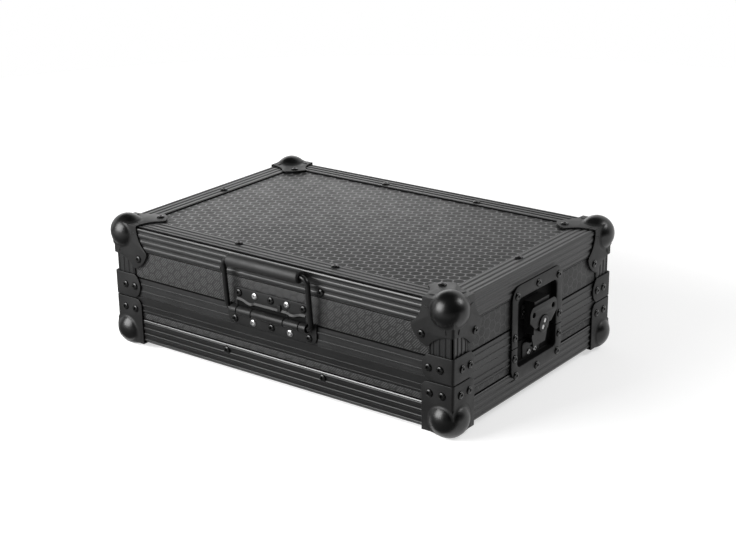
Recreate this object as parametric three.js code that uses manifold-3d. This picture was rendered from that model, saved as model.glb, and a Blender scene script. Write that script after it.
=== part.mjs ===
// Road case for a small DJ controller: a base tray, a lift-off lid, ribbed double-angle edging,
// ball corners, a recessed butterfly latch in each short side and a sprung bail handle in front.
// Millimetres, +Z up, the handle faces -Y. The origin is under the middle of the whole case.
import * as THREE from 'three';
import { mergeVertices } from 'three/addons/utils/BufferGeometryUtils.js';
import Module from 'manifold-3d';

const wasm = await Module();
wasm.setup();

// The shell: the planes of the edging's outer faces
const shellWidth = 490;
const shellDepth = 332;
const shellHeight = 148;
const splitHeight = 59.5;

// Clearance between pieces that touch, and how far a cutting body runs past what it cuts
const gap = 0.3;
const overrun = 2;

// Double-angle edging: two ribbed legs, and an inner angle that holds the panels in slots
const edgeLeg = 30;
const edgeWall = 1.5;
const edgeRound = 1;
const finWall = 1.2;
const finReach = 12;
const coreWall = 1.5;
const ribFirst = 3.4;
const ribPitch = 7.6;
const ribWidth = 3.8;
const ribHeight = 0.5;
const ribChamfer = 0.4;
const ribCount = 4;

// Panels
const panelThickness = 7;

// Closing extrusions round the mouth: a tongue on the base runs in a groove in the lid
const lidRimHeight = 23;
const baseRimHeight = 19.5;
const rimRibWidth = 3;
const lidRimRibFirst = 6.9;
const lidRimRibPitch = 9;
const baseRimRibFirst = 11;
const baseRimRibPitch = 6.9;
const rimRibCount = 2;
const tongueHeight = 5;
const tongueTaper = 0.6;
const tongueClearance = 0.9;
const grooveClearance = 1;

// Ball corners of the lid: a ball at the corner and one lobe on each face, sized by the lid's height
const ballRadius = 21.15;
const ballInset = 11.6;
const cornerSheet = 1.4;
const lobeStartShare = 0.42938;
const lobeCentreShare = 0.45198;
const lobeRadiusShare = 0.15819;

// Corner braces of the lid: angles over the closing extrusions, with round ends, as tall as a
// share of the lid
const braceHeightShare = 0.33333;
const braceDrop = 2;
const braceReach = 39;
const braceBulge = 8;
const braceSheet = 1.5;

// Corners of the base: a tall angle with a foot plate, and a dome that the case stands on
const baseCornerTop = 56;
const baseCornerReach = 39;
const baseCornerRound = 9;
const domeRadius = 22.5;
const domeInset = 13.3;
const domeFlat = 0.5;

// Recessed latch dish, one half in the lid and one in the base. In the latch, a share is a height
// above the split as a share of the lid's height.
const dishWidth = 107;
const dishBottom = 21;
const dishTopShare = 0.80791;
const dishRound = 15;
const dishSheet = 1.2;
const panHalfWidth = 41;
const panBottom = 34;
const panTopShare = 0.62712;
const panRound = 5;
const panDepth = 8.2;

// Keeper on the floor of the lower dish
const keeperSheet = 1.2;
const keeperHalfWidth = 18;
const keeperBottom = 36;
const keeperLedgeHalfWidth = 12;
const keeperLedgeTop = 55.2;
const keeperLedgeFront = 0.5;

// Channel that the hook slides in
const channelHalfWidth = 15.5;
const channelWall = 1.5;
const channelBottomShare = 0.07345;
const channelTopShare = 0.51412;
const channelFront = 6.8;
const channelEarReach = 23;
const channelEarBottomShare = 0.27684;
const channelEarTopShare = 0.45763;
const channelEarRound = 3;

// Cam: a round head, a stem through the channel's front and an eccentric behind it
const camHeightShare = 0.18644;
const camHeadRadius = 10;
const camHeadBack = 7.1;
const camHeadFront = 11;
const camChamfer = 0.8;
const camStemRadius = 4.5;
const camEccentricRadius = 5;
const camThrow = 3;
const camSlotWidth = 3.4;
const camSlotLength = 5.2;
const camSlotSpacing = 8;
const camSlotDepth = 1.5;
const camSlotTilt = THREE.MathUtils.degToRad(28);

// Butterfly wing, hinged on two short pins in the head
const wingHalfWidth = 28.5;
const wingFootHalfWidth = 17;
const wingTopShare = 0.46893;
const wingShoulderShare = 0.24294;
const wingDrop = 1.6;
const wingRound = 8;
const wingSheet = 1.4;
const wingBack = 8.3;
const wingHoleRadius = 3.2;
const wingHoleX = 20.5;
const wingHoleZShare = 0.36723;
const wingPinRadius = 1;
const wingPinLength = 1.6;
const wingPinClearance = 0.3;

// Hook plate with its yoke slot and its claw
const hookSheet = 1.5;
const hookTopShare = 0.40113;
const hookShoulderHalfWidth = 16;
const hookTipHalfWidth = 12.5;
const hookBottom = 50.5;
const hookClawThickness = 1.5;
const hookRound = 4;
const yokeClearance = 1;

// Handle: base plate with rolled knuckles, bent rod, sleeve and torsion spring
const handleAxisHeight = 80;
const handleAxisProud = 5.5;
const handleTilt = THREE.MathUtils.degToRad(4.8);
const handleLength = 61.7;
const handleLegX = 61;
const handleTopBend = 9;
const handleFootBend = 5.5;
const rodRadius = 3;
const rodEndGap = 2;
const gripRadius = 7.75;
const gripLength = 104;
const gripRound = 1.6;
const plateSheet = 1.2;
const plateHalfWidth = 65;
const plateBottom = 60.7;
const plateShoulder = 85.5;
const plateRound = 8;
const strapHalfWidth = 54.5;
const strapTop = 106;
const strapRound = 3;
const windowHalfWidth = 49;
const windowSill = 0.8;
const windowHeight = 4.7;
const windowDip = 2.6;
const windowDipInner = 27;
const windowDipOuter = 44;
const windowDipRun = 4;
const knuckleRadius = 5.2;
const knuckleBore = 4.3;
const knuckleEnd = 55.5;
const knuckleSlit = 1;
const knuckleOuterSlit = 45.5;
const knuckleInnerSlit = 23.5;
const springWireRadius = 0.35;
const springCoilRadius = 3.6;
const springPitch = 1.2;
const springTurns = 6;
const springLegTop = 96;

// Foam
const foamFloorThickness = 10;
const foamTop = 50;
const foamBorder = 24;
const foamWellRound = 12;
const lidFoamThickness = 12;

// Facet counts
const arcSteps = 3;
const ballSegments = 20;
const ballRings = 12;
const rodSides = 10;
const tubeSides = 16;
const gripSides = 20;
const bendSteps = 5;
const springSides = 5;
const springSteps = 8;

// Places that follow from the sizes above
const quarterTurn = Math.PI / 2;
const lidHeight = shellHeight - splitHeight;
const dishTop = splitHeight + dishTopShare * lidHeight;
const panTop = splitHeight + panTopShare * lidHeight;
const channelBottom = splitHeight + channelBottomShare * lidHeight;
const channelTop = splitHeight + channelTopShare * lidHeight;
const channelEarBottom = splitHeight + channelEarBottomShare * lidHeight;
const channelEarTop = splitHeight + channelEarTopShare * lidHeight;
const camHeight = splitHeight + camHeightShare * lidHeight;
const wingTop = splitHeight + wingTopShare * lidHeight;
const wingShoulder = splitHeight + wingShoulderShare * lidHeight;
const wingHoleZ = splitHeight + wingHoleZShare * lidHeight;
const hookTop = splitHeight + hookTopShare * lidHeight;
const lobeStart = lobeStartShare * lidHeight;
const lobeCentre = lobeCentreShare * lidHeight;
const lobeRadius = lobeRadiusShare * lidHeight;
const braceHeight = braceHeightShare * lidHeight;
const slotEnd = edgeWall + panelThickness + 2 * gap;
const finEnd = slotEnd + finWall;
const finTip = finEnd + finReach;
const panelFace = edgeWall + gap;
const panelBack = panelFace + panelThickness;
const panelEnd = finEnd + gap;
const lidRimBottom = splitHeight + gap / 2;
const lidRimTop = splitHeight + lidRimHeight;
const lidRimWeb = splitHeight + tongueHeight + grooveClearance;
const baseRimTop = splitHeight - gap / 2;
const baseRimBottom = splitHeight - baseRimHeight;
const cornerProud = gap + cornerSheet;
const braceProud = gap + braceSheet;
const flangeFront = gap + dishSheet;
const panFloorFront = dishSheet - panDepth;
const panCutHalfWidth = panHalfWidth + dishSheet + gap;
const panCutTop = panTop + dishSheet + gap;
const panCutBottom = panBottom - dishSheet - gap;
const channelBack = panFloorFront + gap;
const channelPlateBack = channelFront - channelWall;
const hookFront = channelPlateBack - gap;
const hookBack = hookFront - hookSheet;
const eccentricHeight = camHeight + camThrow;
const wingAxisProud = wingBack + wingSheet / 2;
const wingClearRadius = camHeadRadius + 2 * gap;
const gripReach = handleAxisProud + handleLength * Math.sin(handleTilt) + gripRadius;
const ballReach = ballRadius - ballInset;
const domeReach = domeRadius - domeInset;
const standHeight = domeReach - domeFlat;
const forwardShift = (gripReach - ballReach) / 2;

// Finishes
function finish(color, roughness, metalness) {
  return new THREE.MeshStandardMaterial({ color, roughness, metalness });
}

const blackAluminium = finish('#26272a', 0.42, 0.6);
const blackSteel = finish('#1b1b1d', 0.4, 0.5);
const laminate = finish('#232426', 0.62, 0);
const blackGrip = finish('#1d1d1f', 0.5, 0);
const springSteel = finish('#6f7276', 0.35, 0.9);
const foam = finish('#17181a', 0.95, 0);

// Solids: geometry in, geometry out, joined or cut. Triangles that merged to a line are left out.
function toSolid(geometry) {
  const bare = geometry.clone();
  bare.deleteAttribute('normal');
  bare.deleteAttribute('uv');
  const merged = mergeVertices(bare);
  const vertProperties = new Float32Array(merged.getAttribute('position').array);
  const index = merged.getIndex().array;
  const kept = [];
  for (let i = 0; i < index.length; i += 3) {
    const [a, b, c] = index.slice(i, i + 3);
    if (a !== b && b !== c && c !== a) kept.push(a, b, c);
  }
  const triVerts = new Uint32Array(kept);
  return new wasm.Manifold(new wasm.Mesh({ numProp: 3, vertProperties, triVerts }));
}

function toGeometry(solid) {
  const result = solid.getMesh();
  const geometry = new THREE.BufferGeometry();
  geometry.setAttribute('position', new THREE.BufferAttribute(result.vertProperties, 3));
  geometry.setIndex(new THREE.BufferAttribute(result.triVerts, 1));
  geometry.computeVertexNormals();
  return geometry;
}

function fuse(first, ...others) {
  return toGeometry(others.reduce((sum, next) => sum.add(toSolid(next)), toSolid(first)));
}

function cut(first, ...tools) {
  return toGeometry(tools.reduce((sum, next) => sum.subtract(toSolid(next)), toSolid(first)));
}

// A box between two corners
function block(low, high) {
  const size = high.map((value, i) => value - low[i]);
  const middle = high.map((value, i) => (value + low[i]) / 2);
  return new THREE.BoxGeometry(...size).translate(...middle);
}

// An outline through straight points
function outline(points) {
  return new THREE.Shape(points.map(([x, y]) => new THREE.Vector2(x, y)));
}

function extrude(shape, depth) {
  return new THREE.ExtrudeGeometry(shape, { depth, bevelEnabled: false, curveSegments: arcSteps });
}

// An outline drawn on a side of the case (x along it, y up), thick from one height off the
// shell's face to another. In the piece's own frame X is along the side, Y inward and Z up.
function faceSlab(shape, back, front) {
  return extrude(shape, front - back).translate(0, 0, back).rotateX(quarterTurn);
}

// A round bar or hole square to a side of the case
function faceCylinder(x, z, radius, back, front, sides) {
  const bar = new THREE.CylinderGeometry(radius, radius, front - back, sides);
  return bar.translate(x, -(back + front) / 2, z);
}

// A rectangle with its own radius at each corner, from the lower left one round to the right
function roundedRectangle(left, bottom, right, top, radii) {
  const [lowLeft, lowRight, topRight, topLeft] = radii;
  const shape = new THREE.Shape();
  shape.moveTo(left + lowLeft, bottom);
  shape.lineTo(right - lowRight, bottom);
  if (lowRight > 0) shape.absarc(right - lowRight, bottom + lowRight, lowRight, -quarterTurn, 0);
  shape.lineTo(right, top - topRight);
  if (topRight > 0) shape.absarc(right - topRight, top - topRight, topRight, 0, quarterTurn);
  shape.lineTo(left + topLeft, top);
  if (topLeft > 0) shape.absarc(left + topLeft, top - topLeft, topLeft, quarterTurn, 2 * quarterTurn);
  shape.lineTo(left, bottom + lowLeft);
  if (lowLeft > 0) {
    shape.absarc(left + lowLeft, bottom + lowLeft, lowLeft, 2 * quarterTurn, 3 * quarterTurn);
  }
  return shape;
}

// A rod of round section along a list of points, with its rings carried from one to the next
function rod(points, radius, sides) {
  const count = points.length;
  const tangents = points.map((point, i) => {
    const before = points[Math.max(i - 1, 0)];
    const after = points[Math.min(i + 1, count - 1)];
    return after.clone().sub(before).normalize();
  });
  const normal = new THREE.Vector3(0, 1, 0).cross(tangents[0]);
  if (normal.lengthSq() === 0) normal.set(1, 0, 0);
  const vertices = [];
  points.forEach((point, i) => {
    normal.addScaledVector(tangents[i], -normal.dot(tangents[i])).normalize();
    const side = tangents[i].clone().cross(normal);
    for (let k = 0; k < sides; k += 1) {
      const angle = (k / sides) * 2 * Math.PI;
      const vertex = point.clone();
      vertex.addScaledVector(normal, radius * Math.cos(angle));
      vertex.addScaledVector(side, radius * Math.sin(angle));
      vertices.push(...vertex.toArray());
    }
  });
  const faces = [];
  for (let i = 0; i < count - 1; i += 1) {
    for (let k = 0; k < sides; k += 1) {
      const a = i * sides + k;
      const b = i * sides + ((k + 1) % sides);
      faces.push(a, b, b + sides, a, b + sides, a + sides);
    }
  }
  const last = (count - 1) * sides;
  for (let k = 1; k < sides - 1; k += 1) {
    faces.push(0, k + 1, k, last, last + k, last + k + 1);
  }
  const geometry = new THREE.BufferGeometry();
  geometry.setAttribute('position', new THREE.Float32BufferAttribute(vertices, 3));
  geometry.setIndex(faces);
  geometry.computeVertexNormals();
  return geometry;
}

function mesh(name, geometry, material) {
  const piece = new THREE.Mesh(geometry, material);
  piece.name = name;
  return piece;
}

// The four sides in the order of quarter turns, each with its length and place
const sides = [
  { name: 'front', length: shellWidth, x: 0, y: -shellDepth / 2, latched: false },
  { name: 'right', length: shellDepth, x: shellWidth / 2, y: 0, latched: true },
  { name: 'back', length: shellWidth, x: 0, y: shellDepth / 2, latched: false },
  { name: 'left', length: shellDepth, x: -shellWidth / 2, y: 0, latched: true },
];

// The four corners in the same order; each starts the side of its number
const corners = [
  { name: 'front_left', x: -shellWidth / 2, y: -shellDepth / 2 },
  { name: 'front_right', x: shellWidth / 2, y: -shellDepth / 2 },
  { name: 'back_right', x: shellWidth / 2, y: shellDepth / 2 },
  { name: 'back_left', x: -shellWidth / 2, y: shellDepth / 2 },
];

function turned(piece, place, turn, height = 0) {
  piece.position.set(place.x, place.y, height);
  piece.rotation.z = turn * quarterTurn;
  return piece;
}

// Points of ribs across a leg: the distance along it and how deep the surface lies
function ribPoints(first, pitch, count, width) {
  const points = [];
  for (let i = 0; i < count; i += 1) {
    const middle = first + i * pitch;
    points.push([middle - width / 2, ribHeight]);
    points.push([middle - width / 2 + ribChamfer, 0]);
    points.push([middle + width / 2 - ribChamfer, 0]);
    points.push([middle + width / 2, ribHeight]);
  }
  return points;
}

// Section of the double-angle edging. Both numbers run inward from the two outer faces.
function doubleAngleSection() {
  const ribs = ribPoints(ribFirst, ribPitch, ribCount, ribWidth);
  const legAlongX = [[edgeRound + ribHeight, ribHeight], ...ribs, [edgeLeg, ribHeight], [edgeLeg, edgeWall]];
  const inside = [
    [finEnd, edgeWall], [finEnd, slotEnd], [finTip, slotEnd], [finTip, finEnd], [finEnd, finEnd],
    [finEnd, finTip], [slotEnd, finTip], [slotEnd, finEnd], [edgeWall, finEnd],
  ];
  const legAlongY = legAlongX.map(([x, y]) => [y, x]).reverse();
  const shape = outline([...legAlongX, ...inside, ...legAlongY]);
  const coreLow = edgeWall + coreWall;
  const coreHigh = finEnd - coreWall;
  const core = outline([[coreLow, coreLow], [coreLow, coreHigh], [coreHigh, coreHigh], [coreHigh, coreLow]]);
  shape.holes.push(core);
  return shape;
}

// The same section for a top or bottom edge, its second number turned into a height
function edgeSection(heightOf) {
  const section = doubleAngleSection();
  const lift = (points) => points.map((point) => [point.x, heightOf(point.y)]);
  const shape = outline(lift(section.getPoints()));
  shape.holes.push(outline(lift(section.holes[0].getPoints())));
  return shape;
}

// Section of the lid's closing extrusion: a slot for the wall above, a groove below
function lidRimSection() {
  const ribs = ribPoints(lidRimRibFirst, lidRimRibPitch, rimRibCount, rimRibWidth);
  const outer = ribs.map(([distance, deep]) => [deep, splitHeight + distance]);
  return outline([
    [ribHeight, lidRimBottom], ...outer, [ribHeight, lidRimTop], [edgeWall, lidRimTop],
    [edgeWall, lidRimWeb + finWall], [slotEnd, lidRimWeb + finWall], [slotEnd, lidRimTop],
    [finEnd, lidRimTop], [finEnd, lidRimBottom], [slotEnd, lidRimBottom], [slotEnd, lidRimWeb],
    [edgeWall, lidRimWeb], [edgeWall, lidRimBottom],
  ]);
}

// Section of the base's closing extrusion: a slot for the wall below, a tongue above
function baseRimSection() {
  const ribs = ribPoints(baseRimRibFirst, baseRimRibPitch, rimRibCount, rimRibWidth);
  const outer = ribs.map(([distance, deep]) => [deep, splitHeight - distance]);
  const tongueOuter = edgeWall + tongueClearance;
  const tongueInner = slotEnd - tongueClearance;
  const tongueTop = splitHeight + tongueHeight;
  return outline([
    [ribHeight, baseRimTop], ...outer, [ribHeight, baseRimBottom], [edgeWall, baseRimBottom],
    [edgeWall, baseRimTop - finWall], [slotEnd, baseRimTop - finWall], [slotEnd, baseRimBottom],
    [finEnd, baseRimBottom], [finEnd, baseRimTop], [tongueInner, baseRimTop],
    [tongueInner - tongueTaper, tongueTop], [tongueOuter + tongueTaper, tongueTop],
    [tongueOuter, baseRimTop],
  ]);
}

// A bar of one section along a side, its ends mitred at 45 degrees
function mitredBar(section, length) {
  const bar = extrude(section, 1);
  const position = bar.getAttribute('position');
  for (let i = 0; i < position.count; i += 1) {
    const inward = position.getX(i);
    const up = position.getY(i);
    const end = length / 2 - inward - gap * Math.SQRT1_2;
    position.setXYZ(i, position.getZ(i) > 0 ? end : -end, inward, up);
  }
  return bar;
}

// What the dish needs cut out of the side behind it
function panCutter() {
  return block(
    [-panCutHalfWidth, -overrun, panCutBottom],
    [panCutHalfWidth, panDepth + gap, panCutTop],
  );
}

function rims(name, section) {
  return sides.map((side, turn) => {
    const bar = mitredBar(section, side.length);
    const shaped = side.latched ? cut(bar, panCutter()) : bar;
    return turned(mesh(`${name}_${side.name}`, shaped, blackAluminium), side, turn);
  });
}

function edges(name, heightOf) {
  return sides.map((side, turn) => {
    const bar = mitredBar(edgeSection(heightOf), side.length);
    return turned(mesh(`${name}_${side.name}`, bar, blackAluminium), side, turn);
  });
}

// A wall between two heights, with a notch where the dish sits. Ends are measured from the corners.
function wall(name, side, turn, bottom, top, end) {
  const half = side.length / 2 - end;
  const panel = block([-half, panelFace, bottom], [half, panelBack, top]);
  const notch = block([-panCutHalfWidth, 0, panCutBottom], [panCutHalfWidth, panelBack + overrun, panCutTop]);
  const shaped = side.latched ? cut(panel, notch) : panel;
  return turned(mesh(`${name}_${side.name}`, shaped, laminate), side, turn);
}

function panel(name, low, high, material) {
  const halfWidth = shellWidth / 2 - panelEnd;
  const halfDepth = shellDepth / 2 - panelEnd;
  return mesh(name, block([-halfWidth, -halfDepth, low], [halfWidth, halfDepth, high]), material);
}

// Vertical double-angle in the corners of the lid, between the rim and the top edging
function lidPosts() {
  const bottom = lidRimTop + gap;
  const length = shellHeight - edgeLeg - gap - bottom;
  return corners.map((corner, turn) => {
    const post = extrude(doubleAngleSection(), length);
    return turned(mesh(`lid_post_${corner.name}`, post, blackAluminium), corner, turn, bottom);
  });
}

// One face of a ball corner: a lobe round a rivet, hollowed towards both edges. The slanting
// edge at its start lies inside the ball.
function lobeOutline() {
  const lobeTip = lobeRadius * Math.SQRT1_2;
  const lean = lobeStart / 5;
  const rise = lobeStart / 3;
  const shape = new THREE.Shape();
  shape.moveTo(ballInset, -cornerProud);
  shape.lineTo(lobeStart, -cornerProud);
  shape.lineTo(lobeStart, 0);
  shape.bezierCurveTo(
    lobeStart, rise,
    lobeCentre + lobeTip - lean, lobeCentre - lobeTip - lean,
    lobeCentre + lobeTip, lobeCentre - lobeTip,
  );
  shape.absarc(lobeCentre, lobeCentre, lobeRadius, -quarterTurn / 2, 3 * quarterTurn / 2);
  shape.bezierCurveTo(
    lobeCentre - lobeTip - lean, lobeCentre + lobeTip - lean,
    rise, lobeStart,
    0, lobeStart,
  );
  shape.lineTo(-cornerProud, lobeStart);
  shape.lineTo(-cornerProud, ballInset);
  return shape;
}

// The corner's own frame has X and Y inward along the two sides and the shell below Z = 0
function ballCornerGeometry() {
  const plate = extrude(lobeOutline(), cornerSheet).translate(0, 0, gap);
  const diagonal = new THREE.Vector3(1, 1, -1).normalize();
  const faces = [0, 1, 2].map((k) => {
    const spin = new THREE.Matrix4().makeRotationAxis(diagonal, (k * 4 * quarterTurn) / 3);
    return plate.clone().applyMatrix4(spin);
  });
  const ball = new THREE.SphereGeometry(ballRadius, ballSegments, ballRings);
  ball.translate(ballInset, ballInset, -ballInset);
  const span = 2 * (lobeCentre + lobeRadius);
  const shell = block([-gap, -gap, -span], [span, span, gap]);
  return cut(fuse(ball, ...faces), shell);
}

function ballCorners() {
  const geometry = ballCornerGeometry();
  return corners.map((corner, turn) => (
    turned(mesh(`lid_ball_${corner.name}`, geometry, blackSteel), corner, turn, shellHeight)
  ));
}

// Two copies of an outline folded round the corner. The frame is the corner's own, Z up.
function foldedAngle(outlineFor, sheet) {
  const alongX = faceSlab(outlineFor(1), gap, gap + sheet);
  const alongY = faceSlab(outlineFor(-1), gap, gap + sheet).rotateZ(-quarterTurn);
  return fuse(alongX, alongY);
}

// Outline of a corner brace, with the fold at x = 0 and a bulging end
function braceOutline(way) {
  const half = braceHeight / 2;
  const radius = (half * half + braceBulge * braceBulge) / (2 * braceBulge);
  const middle = splitHeight - braceDrop + half;
  const spread = Math.asin(half / radius);
  const end = new THREE.Path();
  end.absarc(braceReach - radius, middle, radius, -spread, spread);
  const bulge = end.getPoints(2 * arcSteps).map((point) => [point.x, point.y]);
  const points = [[-braceProud, middle - half], ...bulge, [-braceProud, middle + half]];
  return outline(points.map(([x, z]) => [way * x, z]));
}

function braces() {
  const geometry = foldedAngle(braceOutline, braceSheet);
  return corners.map((corner, turn) => (
    turned(mesh(`lid_brace_${corner.name}`, geometry, blackSteel), corner, turn)
  ));
}

// Outline of one plate of a base corner, up to a height. Its slanting start lies inside the dome.
function baseCornerOutline(way, top) {
  const round = new THREE.Path();
  const centre = baseCornerReach - baseCornerRound;
  round.absarc(centre, top - baseCornerRound, baseCornerRound, 0, quarterTurn);
  const points = [
    [domeInset, -cornerProud], [baseCornerReach, -cornerProud],
    ...round.getPoints(arcSteps).map((point) => [point.x, point.y]),
    [-cornerProud, top], [-cornerProud, domeInset],
  ];
  return outline(points.map(([x, z]) => [way * x, z]));
}

function baseCornerGeometry() {
  const angle = foldedAngle((way) => baseCornerOutline(way, baseCornerTop), cornerSheet);
  const foot = extrude(baseCornerOutline(1, baseCornerReach), cornerSheet).translate(0, 0, -cornerProud);
  const dome = new THREE.SphereGeometry(domeRadius, ballSegments, ballRings);
  dome.translate(domeInset, domeInset, domeInset);
  const span = 2 * baseCornerTop;
  const shell = block([-gap, -gap, -gap], [span, span, span]);
  const ground = block([-span, -span, -span], [span, span, -standHeight]);
  return cut(fuse(dome, angle, foot), shell, ground);
}

function baseCorners() {
  const geometry = baseCornerGeometry();
  return corners.map((corner, turn) => (
    turned(mesh(`base_corner_${corner.name}`, geometry, blackSteel), corner, turn)
  ));
}

// One half of the recessed dish: a flange on the shell and a pan sunk behind it
function dishHalf(bottom, top, pan, radii) {
  const half = dishWidth / 2;
  const flange = faceSlab(roundedRectangle(-half, bottom, half, top, radii.flange), gap, flangeFront);
  const outerHalf = panHalfWidth + dishSheet;
  const outer = roundedRectangle(-outerHalf, pan.outerLow, outerHalf, pan.outerHigh, radii.pan);
  const inner = roundedRectangle(-panHalfWidth, pan.innerLow, panHalfWidth, pan.innerHigh, radii.pan);
  const body = fuse(flange, faceSlab(outer, -panDepth, flangeFront));
  return cut(body, faceSlab(inner, panFloorFront, flangeFront + overrun));
}

function upperDish() {
  const low = splitHeight + gap / 2;
  const pan = {
    outerLow: low, outerHigh: panTop + dishSheet, innerLow: low - overrun, innerHigh: panTop,
  };
  return dishHalf(low, dishTop, pan, {
    flange: [0, 0, dishRound, dishRound], pan: [0, 0, panRound, panRound],
  });
}

function lowerDish() {
  const high = splitHeight - gap / 2;
  const pan = {
    outerLow: panBottom - dishSheet, outerHigh: high, innerLow: panBottom, innerHigh: high + overrun,
  };
  const dish = dishHalf(dishBottom, high, pan, {
    flange: [dishRound, dishRound, 0, 0], pan: [panRound, panRound, 0, 0],
  });
  const floor = panFloorFront - dishSheet / 2;
  const plateFront = panFloorFront + keeperSheet;
  const plate = block(
    [-keeperHalfWidth, -plateFront, keeperBottom],
    [keeperHalfWidth, -floor, keeperLedgeTop - keeperSheet],
  );
  const ledge = block(
    [-keeperLedgeHalfWidth, -keeperLedgeFront, keeperLedgeTop - keeperSheet],
    [keeperLedgeHalfWidth, -floor, keeperLedgeTop],
  );
  return fuse(dish, fuse(plate, ledge));
}

// The channel: a front plate on two flanks, open below and behind, with an ear on each side
function channel() {
  const half = channelHalfWidth;
  const inner = half - channelWall;
  const hood = block([-half, -channelFront, channelBottom], [half, -channelBack, channelTop]);
  const hollow = block(
    [-inner, -channelPlateBack, channelBottom - overrun],
    [inner, -channelBack + overrun, channelTop - channelWall],
  );
  const ear = roundedRectangle(
    -channelEarReach, channelEarBottom, channelEarReach, channelEarTop,
    [channelEarRound, channelEarRound, channelEarRound, channelEarRound],
  );
  const ears = faceSlab(ear, channelBack, channelBack + channelWall);
  const hole = faceCylinder(
    0, camHeight, camStemRadius + gap, channelPlateBack - overrun, channelFront + overrun, tubeSides,
  );
  return cut(fuse(hood, ears), hollow, hole);
}

// The cam in one turned piece, with two blind slots in its head and bores for the wing's pins
function cam() {
  const profile = [
    [0, camHeadBack], [camHeadRadius, camHeadBack], [camHeadRadius, camHeadFront - camChamfer],
    [camHeadRadius - camChamfer, camHeadFront], [0, camHeadFront],
  ];
  const head = new THREE.LatheGeometry(profile.map(([r, h]) => new THREE.Vector2(r, h)), gripSides);
  head.rotateX(2 * quarterTurn).translate(0, 0, camHeight);
  const stemBack = hookFront + gap / 4;
  const eccentricFront = hookFront + gap / 2;
  const stem = faceCylinder(0, camHeight, camStemRadius, stemBack, camHeadBack + camChamfer, tubeSides);
  const eccentric = faceCylinder(0, eccentricHeight, camEccentricRadius, hookBack, eccentricFront, tubeSides);
  const slots = [-1, 1].map((way) => {
    const slot = block(
      [-camSlotWidth / 2, -camHeadFront - overrun, (way * camSlotSpacing - camSlotLength) / 2],
      [camSlotWidth / 2, -camHeadFront + camSlotDepth, (way * camSlotSpacing + camSlotLength) / 2],
    );
    return slot.rotateY(camSlotTilt).translate(0, 0, camHeight);
  });
  const boreRadius = wingPinRadius + wingPinClearance;
  const boreEnd = wingClearRadius - wingPinLength - gap * 2;
  const bores = [-1, 1].map((way) => {
    const length = camHeadRadius + overrun - boreEnd;
    const bore = new THREE.CylinderGeometry(boreRadius, boreRadius, length, rodSides).rotateZ(quarterTurn);
    return bore.translate(way * (boreEnd + length / 2), -wingAxisProud, camHeight);
  });
  return cut(fuse(head, fuse(stem, eccentric)), ...slots, ...bores);
}

// The butterfly: a tapered plate with round shoulders, hollowed round the head
function wing() {
  const foot = camHeight - wingDrop;
  const shape = new THREE.Shape();
  shape.moveTo(wingClearRadius, foot);
  shape.lineTo(wingFootHalfWidth, foot);
  shape.lineTo(wingHalfWidth, wingShoulder);
  shape.lineTo(wingHalfWidth, wingTop - wingRound);
  shape.absarc(wingHalfWidth - wingRound, wingTop - wingRound, wingRound, 0, quarterTurn);
  shape.lineTo(wingRound - wingHalfWidth, wingTop);
  shape.absarc(wingRound - wingHalfWidth, wingTop - wingRound, wingRound, quarterTurn, 2 * quarterTurn);
  shape.lineTo(-wingHalfWidth, wingShoulder);
  shape.lineTo(-wingFootHalfWidth, foot);
  shape.lineTo(-wingClearRadius, foot);
  shape.lineTo(-wingClearRadius, camHeight);
  shape.absarc(0, camHeight, wingClearRadius, 2 * quarterTurn, 0, true);
  const plate = faceSlab(shape, wingBack, wingBack + wingSheet);
  const holes = [-1, 1].map((way) => faceCylinder(
    way * wingHoleX, wingHoleZ, wingHoleRadius, wingBack - overrun, wingBack + wingSheet + overrun, tubeSides,
  ));
  const pins = [-1, 1].map((way) => {
    const length = 2 * wingPinLength;
    const pin = new THREE.CylinderGeometry(wingPinRadius, wingPinRadius, length, rodSides);
    return pin.rotateZ(quarterTurn).translate(way * wingClearRadius, -wingAxisProud, camHeight);
  });
  return cut(fuse(plate, ...pins), ...holes);
}

// The hook: a plate that narrows to its claw, with a yoke slot for the eccentric
function hook() {
  const stemHalf = channelHalfWidth - channelWall - gap;
  const shoulder = channelBottom - gap;
  const shape = outline([
    [-hookTipHalfWidth, hookBottom], [hookTipHalfWidth, hookBottom],
    [hookShoulderHalfWidth, shoulder - hookRound], [hookShoulderHalfWidth, shoulder],
    [stemHalf, shoulder], [stemHalf, hookTop - hookRound], [stemHalf - hookRound, hookTop],
    [hookRound - stemHalf, hookTop], [-stemHalf, hookTop - hookRound], [-stemHalf, shoulder],
    [-hookShoulderHalfWidth, shoulder], [-hookShoulderHalfWidth, shoulder - hookRound],
  ]);
  const yokeHalf = camEccentricRadius + camThrow + gap;
  const yokeHigh = camEccentricRadius + yokeClearance;
  const yoke = roundedRectangle(
    -yokeHalf, eccentricHeight - yokeHigh, yokeHalf, eccentricHeight + yokeHigh,
    [camThrow, camThrow, camThrow, camThrow],
  );
  const plate = faceSlab(shape, hookBack, hookFront);
  const claw = block(
    [-hookTipHalfWidth, -hookFront, hookBottom],
    [hookTipHalfWidth, -(keeperLedgeFront + gap), hookBottom + hookClawThickness],
  );
  return cut(fuse(plate, claw), faceSlab(yoke, hookBack - overrun, hookFront + overrun));
}

// Everything of one latch, built for its side and turned there
function latch(side, turn) {
  const group = new THREE.Group();
  group.add(
    mesh(`latch_dish_upper_${side.name}`, upperDish(), blackSteel),
    mesh(`latch_dish_lower_${side.name}`, lowerDish(), blackSteel),
    mesh(`latch_bracket_${side.name}`, channel(), blackSteel),
    mesh(`latch_cam_${side.name}`, cam(), blackSteel),
    mesh(`latch_wing_${side.name}`, wing(), blackSteel),
    mesh(`latch_hook_${side.name}`, hook(), blackSteel),
  );
  return turned(group, side, turn);
}

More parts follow.
